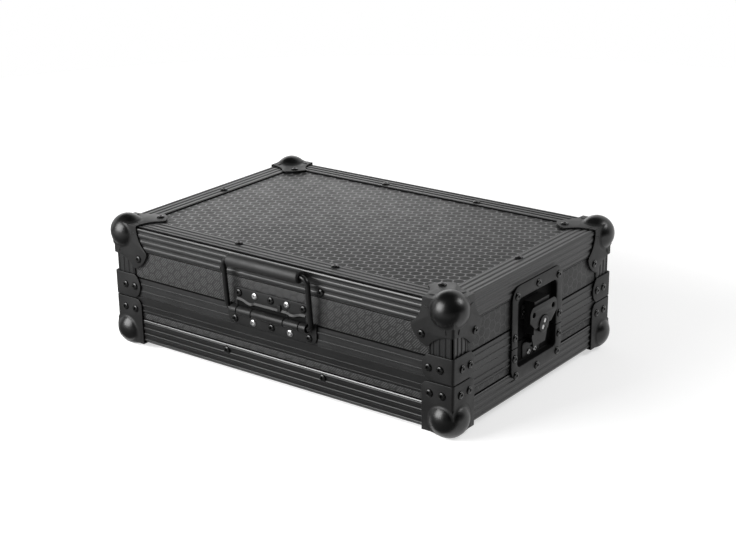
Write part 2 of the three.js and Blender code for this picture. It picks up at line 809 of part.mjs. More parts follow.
// Points of a quarter bend in the plane of the handle, from one angle to the next
function bendPoints(centreX, centreZ, radius, from, to) {
  const points = [];
  for (let i = 0; i <= bendSteps; i += 1) {
    const angle = from + ((to - from) * i) / bendSteps;
    points.push(new THREE.Vector3(centreX + radius * Math.cos(angle), 0, centreZ + radius * Math.sin(angle)));
  }
  return points;
}

// The bail: one bent rod whose two ends meet inside the knuckles. Its pivot is the origin.
function bail() {
  const topZ = handleLength - handleTopBend;
  const topX = handleLegX - handleTopBend;
  const footX = handleLegX - handleFootBend;
  const points = [
    new THREE.Vector3(rodEndGap / 2, 0, 0),
    ...bendPoints(footX, handleFootBend, handleFootBend, -quarterTurn, 0),
    ...bendPoints(topX, topZ, handleTopBend, 0, quarterTurn),
    ...bendPoints(-topX, topZ, handleTopBend, quarterTurn, 2 * quarterTurn),
    ...bendPoints(-footX, handleFootBend, handleFootBend, 2 * quarterTurn, 3 * quarterTurn),
    new THREE.Vector3(-rodEndGap / 2, 0, 0),
  ];
  return rod(points, rodRadius, rodSides);
}

// A closed ring profile turned round the X axis between two places, its outer edges rounded
function sleeve(bore, radius, from, to, round, segments) {
  const edge = new THREE.Path();
  edge.absarc(radius - round, to - round, round, 0, quarterTurn);
  const arc = round > 0 ? edge.getPoints(arcSteps) : [new THREE.Vector2(radius, to)];
  const mirrored = arc.map((point) => new THREE.Vector2(point.x, from + to - point.y)).reverse();
  const profile = [new THREE.Vector2(bore, from), ...mirrored, ...arc, new THREE.Vector2(bore, to)];
  profile.push(profile[0].clone());
  return new THREE.LatheGeometry(profile, segments).rotateZ(-quarterTurn);
}

function grip() {
  const half = gripLength / 2;
  return sleeve(rodRadius + gap, gripRadius, -half, half, gripRound, gripSides).translate(0, 0, handleLength);
}

// Outline of the handle's base plate, with the window between the knuckles and the strap
function handlePlateOutline() {
  const shape = new THREE.Shape();
  shape.moveTo(plateRound - plateHalfWidth, plateBottom);
  shape.lineTo(plateHalfWidth - plateRound, plateBottom);
  shape.absarc(plateHalfWidth - plateRound, plateBottom + plateRound, plateRound, -quarterTurn, 0);
  shape.lineTo(plateHalfWidth, plateShoulder);
  shape.lineTo(strapHalfWidth, plateShoulder);
  shape.lineTo(strapHalfWidth, strapTop - strapRound);
  shape.absarc(strapHalfWidth - strapRound, strapTop - strapRound, strapRound, 0, quarterTurn);
  shape.lineTo(strapRound - strapHalfWidth, strapTop);
  shape.absarc(strapRound - strapHalfWidth, strapTop - strapRound, strapRound, quarterTurn, 2 * quarterTurn);
  shape.lineTo(-strapHalfWidth, plateShoulder);
  shape.lineTo(-plateHalfWidth, plateShoulder);
  shape.lineTo(-plateHalfWidth, plateBottom + plateRound);
  shape.absarc(
    plateRound - plateHalfWidth, plateBottom + plateRound, plateRound, 2 * quarterTurn, 3 * quarterTurn,
  );
  shape.holes.push(handleWindow());
  return shape;
}

// The window's upper edge dips on both sides, where the strap comes lower
function handleWindow() {
  const bottom = plateShoulder + windowSill;
  const top = bottom + windowHeight;
  const low = top - windowDip;
  const rightHalf = [
    [windowHalfWidth, bottom], [windowHalfWidth, top],
    [windowDipOuter + windowDipRun, top], [windowDipOuter, low],
    [windowDipInner + windowDipRun, low], [windowDipInner, top],
  ];
  const leftHalf = rightHalf.map(([x, z]) => [-x, z]).reverse();
  return outline([...rightHalf, ...leftHalf]);
}

// The knuckles in their order along the axis
function knuckles() {
  const half = knuckleSlit / 2;
  const rightOnes = [
    [knuckleInnerSlit + half, knuckleOuterSlit - half],
    [knuckleOuterSlit + half, knuckleEnd],
  ];
  const leftOnes = rightOnes.map(([from, to]) => [-to, -from]);
  const spans = [...leftOnes, [half - knuckleInnerSlit, knuckleInnerSlit - half], ...rightOnes];
  return spans.map(([from, to]) => (
    sleeve(knuckleBore, knuckleRadius, from, to, 0, tubeSides)
      .translate(0, -handleAxisProud, handleAxisHeight)
  ));
}

function handlePlate() {
  const sheet = faceSlab(handlePlateOutline(), gap, gap + plateSheet);
  const bore = new THREE.CylinderGeometry(knuckleBore, knuckleBore, 2 * handleLegX, tubeSides);
  bore.rotateZ(quarterTurn).translate(0, -handleAxisProud, handleAxisHeight);
  return cut(fuse(sheet, ...knuckles()), bore);
}

// The torsion spring: close turns round the rod, and a leg that leaves by a slit and rests
// on the strap. The other end stops inside the knuckle.
function handleSpring() {
  const points = [];
  const steps = springTurns * springSteps;
  for (let i = 0; i <= steps; i += 1) {
    const angle = (i / springSteps) * 2 * Math.PI;
    const x = knuckleInnerSlit - springPitch * (springTurns - i / springSteps);
    const inward = springCoilRadius * Math.cos(angle);
    points.push(new THREE.Vector3(x, inward, springCoilRadius * Math.sin(angle)));
  }
  points.push(new THREE.Vector3(knuckleInnerSlit, springCoilRadius, springLegTop - handleAxisHeight));
  return rod(points, springWireRadius, springSides).translate(0, -handleAxisProud, handleAxisHeight);
}

function handle() {
  const swinging = new THREE.Group();
  swinging.add(mesh('handle_bail', bail(), blackSteel), mesh('handle_grip', grip(), blackGrip));
  swinging.position.set(0, -handleAxisProud, handleAxisHeight);
  swinging.rotation.x = handleTilt;
  const group = new THREE.Group();
  group.add(
    mesh('handle_plate', handlePlate(), blackSteel),
    mesh('handle_spring', handleSpring(), springSteel),
    swinging,
  );
  return turned(group, sides[0], 0);
}

// A foam insert with a well for the controller
function baseFoam() {
  const halfWidth = shellWidth / 2 - panelEnd;
  const halfDepth = shellDepth / 2 - panelEnd;
  const body = block([-halfWidth, -halfDepth, finEnd + gap], [halfWidth, halfDepth, foamTop]);
  const wellX = halfWidth - foamBorder;
  const wellY = halfDepth - foamBorder;
  const radii = [foamWellRound, foamWellRound, foamWellRound, foamWellRound];
  const well = extrude(roundedRectangle(-wellX, -wellY, wellX, wellY, radii), shellHeight);
  well.translate(0, 0, finEnd + gap + foamFloorThickness);
  return mesh('base_foam', cut(body, well), foam);
}

function lidFoam() {
  const halfWidth = shellWidth / 2 - finTip - gap;
  const halfDepth = shellDepth / 2 - finTip - gap;
  const top = shellHeight - panelBack - gap;
  const low = top - lidFoamThickness;
  return mesh('lid_foam', block([-halfWidth, -halfDepth, low], [halfWidth, halfDepth, top]), foam);
}

function base() {
  const group = new THREE.Group();
  group.add(panel('base_floor_panel', panelFace, panelBack, laminate));
  const top = baseRimTop - finWall - gap;
  sides.forEach((side, turn) => {
    const end = side.latched ? panelBack + gap : panelFace;
    group.add(wall('base_wall', side, turn, panelEnd, top, end));
  });
  group.add(...edges('base_edge', (inward) => inward), ...rims('base_rim', baseRimSection()));
  group.add(...baseCorners(), baseFoam());
  return group;
}

function lid() {
  const group = new THREE.Group();
  group.add(panel('lid_top_panel', shellHeight - panelBack, shellHeight - panelFace, laminate));
  const bottom = lidRimWeb + finWall + gap;
  sides.forEach((side, turn) => {
    group.add(wall('lid_wall', side, turn, bottom, shellHeight - panelEnd, panelEnd));
  });
  group.add(...edges('lid_edge', (inward) => shellHeight - inward), ...rims('lid_rim', lidRimSection()));
  group.add(...lidPosts(), ...ballCorners(), ...braces(), lidFoam(), handle());
  return group;
}

const controllerCase = new THREE.Group();
controllerCase.add(base(), lid());
sides.forEach((side, turn) => {
  if (side.latched) controllerCase.add(latch(side, turn));
});
controllerCase.position.set(0, forwardShift, standHeight);

export default controllerCase;
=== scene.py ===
"""A black road case for a DJ controller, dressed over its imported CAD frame.

Lengths are in millimetres in the row's frame until a mesh is finished, then in metres.
"""
from math import asin, atan2, cos, degrees, dist, pi, radians, sin, sqrt, tau

import bmesh
import bpy
from mathutils import Matrix, Vector, geometry


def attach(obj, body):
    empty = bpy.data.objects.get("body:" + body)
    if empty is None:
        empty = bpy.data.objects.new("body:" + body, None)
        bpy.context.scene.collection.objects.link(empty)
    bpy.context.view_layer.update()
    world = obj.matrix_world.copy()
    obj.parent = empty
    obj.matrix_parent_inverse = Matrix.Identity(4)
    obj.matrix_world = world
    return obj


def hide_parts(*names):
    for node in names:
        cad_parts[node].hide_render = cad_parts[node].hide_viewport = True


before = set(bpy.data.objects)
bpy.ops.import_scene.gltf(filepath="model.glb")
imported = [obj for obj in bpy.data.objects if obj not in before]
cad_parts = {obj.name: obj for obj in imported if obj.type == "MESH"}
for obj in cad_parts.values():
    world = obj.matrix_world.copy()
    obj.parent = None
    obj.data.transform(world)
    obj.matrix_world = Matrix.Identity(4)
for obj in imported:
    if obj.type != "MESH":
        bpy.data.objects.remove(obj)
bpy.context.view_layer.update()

MM = 0.001

# The shell, as in the CAD: SHIFT is how far back its middle lies, STAND how high its bottom
SHELL_WIDTH = 490
SHELL_DEPTH = 332
SHELL_HEIGHT = 148
SPLIT = 59.5
GAP = 0.3
SHIFT = 4.4315
STAND = 8.7

SIDES = {
    "front": (0, -SHELL_DEPTH / 2, 0),
    "right": (SHELL_WIDTH / 2, 0, 1),
    "back": (0, SHELL_DEPTH / 2, 2),
    "left": (-SHELL_WIDTH / 2, 0, 3),
}
CORNERS = {
    "front_left": (-SHELL_WIDTH / 2, -SHELL_DEPTH / 2, 0),
    "front_right": (SHELL_WIDTH / 2, -SHELL_DEPTH / 2, 1),
    "back_right": (SHELL_WIDTH / 2, SHELL_DEPTH / 2, 2),
    "back_left": (-SHELL_WIDTH / 2, SHELL_DEPTH / 2, 3),
}
LATCHED = ("right", "left")


def spot(x, y, z):
    return Matrix.Translation((x, y, z))


def turned(angle, axis):
    """A turn by an angle in degrees."""
    return Matrix.Rotation(radians(angle), 4, axis)


def placed(place, height=0.0):
    """From a side's or corner's own frame (X along it, Y inward, Z up) to the row's."""
    x, y, turns = place
    return spot(x, y + SHIFT, STAND + height) @ turned(90 * turns, "Z")


def on_side(side, x=0, z=0, out=0):
    """A spot on a side: its Z axis points out of the case and its Y axis up."""
    return placed(SIDES[side]) @ spot(x, -out, z) @ turned(90, "X")


def on_top(x, y):
    """A spot on the top, given from the front left corner of the shell."""
    return spot(x - SHELL_WIDTH / 2, y - SHELL_DEPTH / 2 + SHIFT, STAND + SHELL_HEIGHT)


# Meshes. Points and faces are gathered in millimetres in the row's frame.


def put(name, data):
    """An object in the scene with the data of a mesh, a camera or a lamp."""
    made = bpy.data.objects.new(name, data)
    bpy.context.collection.objects.link(made)
    return made


def middle_of(vertices, face):
    return sum((Vector(vertices[i]) for i in face), Vector()) / len(face)


class Shape:
    """Vertices and faces of one piece, each part set in place as it is added."""

    def __init__(self):
        self.vertices = []
        self.faces = []
        self.tones = []

    def add(self, part, matrix=None, tone=None):
        """Adds a part. tone gives the number of a face's material from its middle, 0 without it."""
        vertices, faces = part
        matrix = matrix or Matrix()
        self.tones += [tone(middle_of(vertices, face)) if tone else 0 for face in faces]
        start = len(self.vertices)
        mirrored = matrix.determinant() < 0
        self.vertices += [matrix @ Vector(v) for v in vertices]
        for face in faces:
            ring = [start + i for i in face]
            self.faces.append(ring[::-1] if mirrored else ring)
        return self

    def make(self, name, materials, body, stands_for=(), slot="hardware", crease=32):
        """Makes the piece. Edges sharper than crease, in degrees, stay sharp."""
        data = bpy.data.meshes.new(name)
        data.from_pydata([v * MM for v in self.vertices], [], self.faces)
        data.polygons.foreach_set("material_index", self.tones)
        mesh = bmesh.new()
        mesh.from_mesh(data)
        bmesh.ops.recalc_face_normals(mesh, faces=mesh.faces)
        mesh.to_mesh(data)
        mesh.free()
        data.shade_smooth()
        data.set_sharp_from_angle(angle=radians(crease))
        for material in materials if isinstance(materials, tuple) else (materials,):
            data.materials.append(material)
        piece = put(name, data)
        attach(piece, body)
        if stands_for:
            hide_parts(*stands_for)
        return piece


def arc(x, y, radius, start, end, steps):
    """Points on an arc, both ends included, its angles in degrees."""
    angles = [radians(start + (end - start) * i / steps) for i in range(steps + 1)]
    return [(x + radius * cos(a), y + radius * sin(a)) for a in angles]


def circle(x, y, radius, steps):
    return arc(x, y, radius, 0, 360, steps)[:-1]


def quarter(steps):
    """Angles from nothing to a right one, both included."""
    return [pi / 2 * i / steps for i in range(steps + 1)]


def bezier(a, b, c, d, steps):
    """Points on a cubic curve, both ends included."""
    points = []
    for i in range(steps + 1):
        t = i / steps
        weights = ((1 - t) ** 3, 3 * t * (1 - t) ** 2, 3 * t * t * (1 - t), t ** 3)
        points.append(tuple(sum(w * p[k] for w, p in zip(weights, (a, b, c, d))) for k in (0, 1)))
    return points


def both_ways(points, flip=(-1, 1)):
    """Points of one half, then those of the mirrored half in reverse."""
    return points + [(flip[0] * x, flip[1] * y) for x, y in reversed(points)]


def box_outline(left, bottom, right, top):
    return [(left, bottom), (right, bottom), (right, top), (left, top)]


def rounded(left, bottom, right, top, radius, steps, top_radius=None):
    """A rectangle with round corners, anticlockwise from its lower left one."""
    high = top_radius or radius
    return (
        arc(left + radius, bottom + radius, radius, 180, 270, steps)
        + arc(right - radius, bottom + radius, radius, 270, 360, steps)
        + arc(right - high, top - high, high, 0, 90, steps)
        + arc(left + high, top - high, high, 90, 180, steps)
    )


def plan(edge, radius=0, steps=1):
    """The shell's outline from above, moved in by edge."""
    x, y = SHELL_WIDTH / 2 - edge, SHELL_DEPTH / 2 - edge
    return rounded(-x, -y, x, y, radius, steps)


NEAR = 1e-4
SHARPEST_MITRE = 0.35


def thinned(points):
    """The same outline without points that repeat."""
    kept = []
    for point in points:
        if not kept or dist(point, kept[-1]) > NEAR:
            kept.append(point)
    if dist(kept[0], kept[-1]) <= NEAR:
        kept.pop()
    return kept


def inset(points, distance):
    """An outline moved to its left by a distance, with mitred corners."""
    moved = []
    count = len(points)
    for i, (x, y) in enumerate(points):
        here, before, after = Vector((x, y)), Vector(points[i - 1]), Vector(points[(i + 1) % count])
        one, two = (here - before).normalized(), (after - here).normalized()
        first = Vector((-one.y, one.x))
        normal = Vector((-one.y - two.y, one.x + two.x))
        normal = normal.normalized() if normal.length > NEAR else first
        reach = distance / max(normal.dot(first), SHARPEST_MITRE)
        moved.append((x + normal.x * reach, y + normal.y * reach))
    return moved


def skin(rings, count, start=0, closed=True):
    """Faces between rings of count points that follow one another from start."""
    faces = []
    for k in range(rings - 1):
        for i in range(count if closed else count - 1):
            a, b = (start + k * count + number for number in (i, (i + 1) % count))
            faces.append((a, b, b + count, a + count))
    return faces


def triangles(*loops):
    """Triangles that fill flat loops, as numbers of points counted on from loop to loop."""
    return geometry.tessellate_polygon([[Vector((x, y, 0)) for x, y in loop] for loop in loops])


def sheet(outline, back, front, holes=(), edge=0.0, steps=3, both=False):
    """A flat plate between two heights. Its front rim, or both, is rounded by edge."""
    loops = [thinned(outline)] + [thinned(hole)[::-1] for hole in holes]
    layers = [(0.0, back)]
    if edge and both:
        layers = [(edge * (1 - sin(a)), back + edge * (1 - cos(a))) for a in quarter(steps)]
    if edge:
        layers += [(edge * (1 - cos(a)), front - edge * (1 - sin(a))) for a in quarter(steps)]
    else:
        layers.append((0.0, front))
    vertices, faces, starts = [], [], []
    for loop in loops:
        starts.append(len(vertices))
        faces += skin(len(layers), len(loop), len(vertices))
        for offset, height in layers:
            vertices += [(x, y, height) for x, y in (inset(loop, offset) if offset else loop)]
    for layer, flip in ((0, True), (len(layers) - 1, False)):
        firsts = [start + layer * len(loop) for start, loop in zip(starts, loops)]
        rings = [range(first, first + len(loop)) for first, loop in zip(firsts, loops)]
        numbers = [i for ring in rings for i in ring]
        for triangle in triangles(*[[vertices[i][:2] for i in ring] for ring in rings]):
            ring = [numbers[i] for i in triangle]
            a, b, c = (Vector(vertices[i]) for i in ring)
            upward = (b - a).cross(c - a).z > 0
            faces.append(tuple(ring[::-1] if upward == flip else ring))
    return vertices, faces


def lathe(profile, segments):
    """A profile of (radius, height) points turned round the Z axis. Points on the axis are poles."""
    vertices = []
    rings = []
    for radius, height in profile:
        if radius < NEAR:
            rings.append([len(vertices)] * segments)
            vertices.append((0, 0, height))
            continue
        rings.append(range(len(vertices), len(vertices) + segments))
        vertices += [(x, y, height) for x, y in circle(0, 0, radius, segments)]
    faces = []
    for low, high in zip(rings, rings[1:]):
        for i in range(segments):
            j = (i + 1) % segments
            ring = tuple(dict.fromkeys((low[i], low[j], high[j], high[i])))
            if len(ring) > 2:
                faces.append(ring)
    return vertices, faces


def tube(points, radius, sides):
    """A round tube along points, its rings carried from one to the next."""
    points = [Vector(p) for p in points]
    tangents = []
    for i in range(len(points)):
        before, after = points[max(i - 1, 0)], points[min(i + 1, len(points) - 1)]
        tangents.append((after - before).normalized())
    normal = tangents[0].orthogonal().normalized()
    vertices = []
    for point, tangent in zip(points, tangents):
        normal = (normal - tangent * normal.dot(tangent)).normalized()
        side = tangent.cross(normal)
        vertices += [point + x * normal + y * side for x, y in circle(0, 0, radius, sides)]
    ends = tuple(range(sides))[::-1], tuple(range(len(vertices) - sides, len(vertices)))
    return vertices, skin(len(points), sides) + [*ends]


def clip(part, planes):
    """A part with all that lies behind each plane, given as (point, normal), cut away."""
    vertices, faces = part
    mesh = bmesh.new()
    corners = [mesh.verts.new(v) for v in vertices]
    for face in faces:
        mesh.faces.new([corners[i] for i in face])
    for point, normal in planes:
        everything = mesh.verts[:] + mesh.edges[:] + mesh.faces[:]
        bmesh.ops.bisect_plane(
            mesh, geom=everything, dist=1e-5, plane_co=point, plane_no=normal, clear_inner=True,
        )
    mesh.verts.index_update()
    result = [v.co.copy() for v in mesh.verts], [tuple(v.index for v in f.verts) for f in mesh.faces]
    mesh.free()
    return result


def shifted(part, matrix):
    vertices, faces = part
    return [matrix @ Vector(v) for v in vertices], faces


def without(part, hidden):
    """A part without the faces whose middles are hidden."""
    vertices, faces = part
    return vertices, [face for face in faces if not hidden(middle_of(vertices, face))]


# Node materials


class Nodes:
    """A node tree, made one call at a time. Sockets are linked and numbers are set."""

    def __init__(self, tree):
        self.tree = tree

    def node(self, kind, inputs=None, **settings):
        made = self.tree.nodes.new(kind)
        for key, value in settings.items():
            setattr(made, key, value)
        for key, value in (inputs or {}).items():
            self.feed(made.inputs[key], value)
        return made

    def feed(self, socket, value):
        if isinstance(value, bpy.types.NodeSocket):
            self.tree.links.new(value, socket)
        else:
            socket.default_value = value

    def math(self, operation, *values):
        return self.node("ShaderNodeMath", dict(enumerate(values)), operation=operation).outputs[0]

    def vector(self, operation, *values, output=0):
        made = self.node("ShaderNodeVectorMath", dict(enumerate(values)), operation=operation)
        return made.outputs[output]

    def ramp(self, value, low, high, to_low=0.0, to_high=1.0, smooth=False):
        inputs = {"Value": value, "From Min": low, "From Max": high, "To Min": to_low, "To Max": to_high}
        kind = "SMOOTHSTEP" if smooth else "LINEAR"
        return self.node("ShaderNodeMapRange", inputs, interpolation_type=kind).outputs[0]

    def mix(self, factor, first, second):
        made = self.node("ShaderNodeMix", data_type="RGBA")
        self.feed(made.inputs["Factor"], factor)
        self.feed(made.inputs["A"], first)
        self.feed(made.inputs["B"], second)
        return made.outputs["Result"]


class Shader(Nodes):
    """A material and its nodes."""

    def __init__(self, name):
        self.material = bpy.data.materials.new(name)
        self.material.use_nodes = True
        super().__init__(self.material.node_tree)
        self.surface = self.tree.nodes["Principled BSDF"]
        self.object = self.node("ShaderNodeTexCoord").outputs["Object"]

    def noise(self, scale, detail=3.0, roughness=0.55, at=None):
        inputs = {"Vector": at or self.object, "Scale": scale, "Detail": detail, "Roughness": roughness}
        return self.node("ShaderNodeTexNoise", inputs).outputs["Fac"]

    def bump(self, height, distance, strength):
        """A height of 1 stands for a distance in millimetres."""
        inputs = {"Height": height, "Distance": distance * MM, "Strength": strength}
        return self.node("ShaderNodeBump", inputs).outputs["Normal"]

    def finish(self, colour, roughness, shine=0.5, **sockets):
        looks = {"Base_Color": colour, "Roughness": roughness, "Specular_IOR_Level": shine}
        for key, value in {**looks, **sockets}.items():
            self.feed(self.surface.inputs[key.replace("_", " ")], value)
        return self.material


def grey(value, tint=0.0):
    """A grey that tint makes bluer."""
    return (value * (1 - tint), value, value * (1 + tint), 1.0)


def worn(shader, dark, light, scale, tint=0.0):
    """Two greys mixed by a soft noise."""
    return shader.mix(shader.ramp(shader.noise(scale), 0.35, 0.7), grey(dark, tint), grey(light, tint))


def uneven(shader, scale, detail, low, high):
    """A roughness that wanders between two values."""
    return shader.ramp(shader.noise(scale, detail), 0.3, 0.7, low, high)


CELL_PITCH = 12.0
HATCH_PITCH, HATCH_ACROSS, HATCH_UP = 2.3, 0.73, -0.68


def honeycomb(shader, across, up):
    """Where a spot lies in the nearest hexagonal cell: how near its edge, and how near a junction."""
    pitch = CELL_PITCH * MM
    half = (sqrt(3) * pitch / 2, pitch / 2, 0.0)
    back = (-half[0], -half[1], 0.0)
    flat = shader.node("ShaderNodeCombineXYZ", {"X": across, "Y": up}).outputs[0]
    first = shader.vector("WRAP", flat, half, back)
    second = shader.vector("WRAP", shader.vector("ADD", flat, half), half, back)
    first_length = shader.vector("LENGTH", first, output="Value")
    second_length = shader.vector("LENGTH", second, output="Value")
    closer = shader.math("LESS_THAN", first_length, second_length)
    chosen = shader.node("ShaderNodeMix", {"Factor": closer}, data_type="VECTOR")
    shader.feed(chosen.inputs[4], second)
    shader.feed(chosen.inputs[5], first)
    folded = shader.vector("ABSOLUTE", chosen.outputs[1])
    slanted = shader.vector("DOT_PRODUCT", folded, (sqrt(3) / 2, 0.5, 0.0), output="Value")
    upright = shader.node("ShaderNodeSeparateXYZ", {"Vector": folded}).outputs["Y"]
    edge = shader.math("DIVIDE", shader.math("MAXIMUM", slanted, upright), pitch / 2)
    far = shader.math("DIVIDE", shader.math("MINIMUM", first_length, second_length), pitch / sqrt(3))
    return edge, far


def laminate(name, across, up, pads, outline, junction_highlight, hatching):
    """Black laminate on plywood, embossed with hexagonal cells that are hatched inside.

    pads, outline, junction_highlight and hatching say how light the cells, their edges, their junctions and
    the hatching show. The light junctions are a painted highlight where the embossed cells catch the light."""
    shader = Shader(name)
    axes = shader.node("ShaderNodeSeparateXYZ", {"Vector": shader.object}).outputs
    across, up = axes[across], axes[up]
    edge, far = honeycomb(shader, across, up)
    pad = shader.ramp(edge, 0.76, 0.92, 1.0, 0.0, smooth=True)
    steps = shader.math("MULTIPLY", across, HATCH_ACROSS), shader.math("MULTIPLY", up, HATCH_UP)
    slant = shader.math("ADD", *steps)
    wave = shader.math("SINE", shader.math("MULTIPLY", slant, tau / (HATCH_PITCH * MM)))
    hatch = shader.math("MULTIPLY", shader.ramp(wave, -0.2, 0.8, smooth=True), pad)
    height = shader.math("ADD", pad, shader.math("MULTIPLY", hatch, 0.45))
    height = shader.math("ADD", height, shader.math("MULTIPLY", shader.noise(900, 2.0), 0.12))
    colour = worn(shader, pads * 0.85, pads * 1.15, 14)
    groove = shader.ramp(edge, 0.78, 0.94, smooth=True)
    colour = shader.mix(groove, colour, grey(outline))
    # painted highlight: the junctions are lightened where the embossed cells would catch the light
    junction = shader.ramp(far, 0.72, 0.94, smooth=True)
    colour = shader.mix(junction, colour, grey(junction_highlight))
    colour = shader.mix(hatch, colour, grey(hatching))
    rough = uneven(shader, 60, 3.0, 0.42, 0.52)
    return shader.finish(colour, rough, 0.21, Normal=shader.bump(height, 0.2, 0.5))


def anodised(name, along, value, low=0.32, shine=0.45):
    """Black anodised extrusion with drawing lines along it."""
    shader = Shader(name)
    stretch = tuple(3.0 if axis == along else 260.0 for axis in range(3))
    drawn = shader.vector("MULTIPLY", shader.object, stretch)
    lines = shader.noise(6, 3.0, at=drawn)
    colour = worn(shader, value * 0.8, value * 1.2, 25, 0.01)
    colour = shader.mix(shader.ramp(lines, 0.55, 0.75), colour, grey(value * 1.8))
    rough = shader.ramp(lines, 0.3, 0.7, low, low + 0.1)
    return shader.finish(colour, rough, shine, Normal=shader.bump(lines, 0.02, 0.3))


def coated(name, dark, light, low, high, grain, shine):
    """Painted or plated metal: fine orange peel, faint scuffs and uneven gloss."""
    shader = Shader(name)
    colour = worn(shader, dark, light, 40)
    scuffs = shader.ramp(shader.noise(220, 6.0, 0.7), 0.62, 0.8)
    colour = shader.mix(shader.math("MULTIPLY", scuffs, 0.4), colour, grey(light * 2))
    rough = uneven(shader, 70, 4.0, low, high)
    return shader.finish(colour, rough, shine, Normal=shader.bump(shader.noise(1300, 2.0), grain, 0.5))


def bright(name, value, low, high):
    """Nickel or zinc plate with fine turning marks."""
    shader = Shader(name)
    colour = worn(shader, value * 0.82, value, 300)
    rough, bump = uneven(shader, 500, 3.0, low, high), shader.bump(shader.noise(2500), 0.01, 0.4)
    return shader.finish(colour, rough, Metallic=1.0, Normal=bump)


def foam_material():
    """Dark open-cell foam."""
    shader = Shader("foam")
    cells = shader.node("ShaderNodeTexVoronoi", {"Vector": shader.object, "Scale": 900.0}).outputs["Distance"]
    colour = shader.mix(shader.ramp(cells, 0.1, 0.6), grey(0.012), grey(0.035))
    height = shader.math("ADD", cells, shader.math("MULTIPLY", shader.noise(120), 0.8))
    return shader.finish(colour, 0.95, Normal=shader.bump(height, 0.6, 0.8))


# One laminate in three copies whose lightness differs by face: painted light and shade for how each face is
# lit
LAMINATE_TOP = laminate("laminate_top", 0, 1, 0.011, 0.013, 0.17, 0.02)
LAMINATE_FRONT = laminate("laminate_front", 0, 2, 0.014, 0.018, 0.015, 0.049)
LAMINATE_SIDE = laminate("laminate_side", 1, 2, 0.028, 0.07, 0.055, 0.055)
EDGING_Z = anodised("anodised_along_z", 2, 0.0075)
# The edging's lips: a lighter colour that is a painted highlight, and glossier than the rest
LID_LIP_HIGHLIGHT = anodised("anodised_lid_lip_highlight", 0, 0.011, 0.27, 0.6)
BASE_LIP_HIGHLIGHT = anodised("anodised_base_lip_highlight", 0, 0.022, 0.23, 0.8)

# The lid's and the base's edging, then their rims: copies of one finish, the base's darker as painted shade
# towards the bottom and the rims along the sides lighter as painted light
ALONG_X = [
    anodised("anodised_along_x", 0, 0.0095),
    anodised("anodised_base_along_x_painted_shade", 0, 0.0045),
    anodised("anodised_rim_along_x", 0, 0.0095),
    anodised("anodised_base_rim_along_x_painted_shade", 0, 0.0045),
]
ALONG_Y = [
    anodised("anodised_along_y", 1, 0.0095),
    anodised("anodised_base_along_y_painted_shade", 1, 0.0045),
    anodised("anodised_rim_along_y_painted_light", 1, 0.012, 0.42, 0.5),
    anodised("anodised_base_rim_along_y_painted_light_and_shade", 1, 0.0085, 0.42, 0.47),
]

COATED = coated("black_coated_steel", 0.007, 0.010, 0.38, 0.48, 0.02, 0.26)
# Near-black colour put on seams, notches, flanks, rivet holes, the dishes' pans and behind the handle's
# window: painted shade
PAINTED_SHADE = coated("painted_shade_black", 0.003, 0.004, 0.6, 0.7, 0.02, 0.08)
GLOSSY = coated("black_glossy_steel", 0.002, 0.003, 0.28, 0.36, 0.004, 0.45)
RIVET = coated("black_rivet", 0.002, 0.004, 0.2, 0.28, 0.006, 0.42)
SCREW = bright("dark_screw", 0.30, 0.28, 0.4)
SILVER = bright("nickel_plate", 0.6, 0.25, 0.38)
WIRE = bright("spring_wire", 0.08, 0.25, 0.35)
GRIP = coated("moulded_grip", 0.005, 0.008, 0.5, 0.6, 0.08, 0.45)
FOAM = foam_material()

for node_name, node_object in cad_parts.items():
    node_object.data.materials.clear()
    node_object.data.materials.append(LAMINATE_TOP if node_name.endswith("_panel") else COATED)


# Edging

LEG, LEG_WALL = 30, 1.5
SLOT, FIN_WALL, FIN_REACH = 9.1, 1.2, 12
FIN = SLOT + FIN_WALL
RIB_HEIGHT, RIB_STEPS = 0.9, 16
LID_CROWN, TOP_CROWN, BASE_CROWN, RIM_CROWN = 3.2, 5.5, 4.5, 7
LID_RIB, BASE_RIB, RIM_RIB = 5.4, 3.8, 3
FIRST_RIB, LAST_RIB, RIB_PITCH = 3.4, 28.2, 7.6
LEG_LIP = [(28.35, RIB_HEIGHT), (28.55, 0.3), (28.75, 0.12), (29, 0.15), (29.95, 0.72), (LEG, 0.85)]
DEEP_NOTCH = [(3.9, 3.9), (4.3, 2.7), (2.2, 0.62), (3.15, 0.15), (3.3, 0.05)]
SHALLOW_NOTCH = [(1.3, 1.3), (1.7, 0.8), (2.3, 0.4), (3.15, 0.12), (3.3, 0.05)]
LIP_DEPTH, LID_LIP_SPAN, BASE_LIP_SPAN = 0.74, (2.5, 3.38), (29.2, 29.98)
LID_RIM_TOP, BASE_RIM_BOTTOM = SPLIT + 23, SPLIT - 19.5
LID_RIM_RIBS, BASE_RIM_RIBS = (6.9, 9, 2), (11, 6.9, 2)
BEVEL = 0.4
WEB, TONGUE, TONGUE_FOOT, TONGUE_TIP = 6, 5, 0.9, 1.5
PAN_CUT = 42.5
EDGING_CREASE = 22


def ribs(first, pitch, count, width, crown):
    """Points across a leg: the distance along it and how deep the surface lies.

    first is the first rib's middle. crown is 2 for a rounded rib and more for a flatter one with
    tighter shoulders."""
    points = []
    for k in range(count):
        for i in range(RIB_STEPS + 1):
            along = 2 * i / RIB_STEPS - 1
            points.append((first + k * pitch + along * width / 2, RIB_HEIGHT * abs(along) ** crown))
    return points


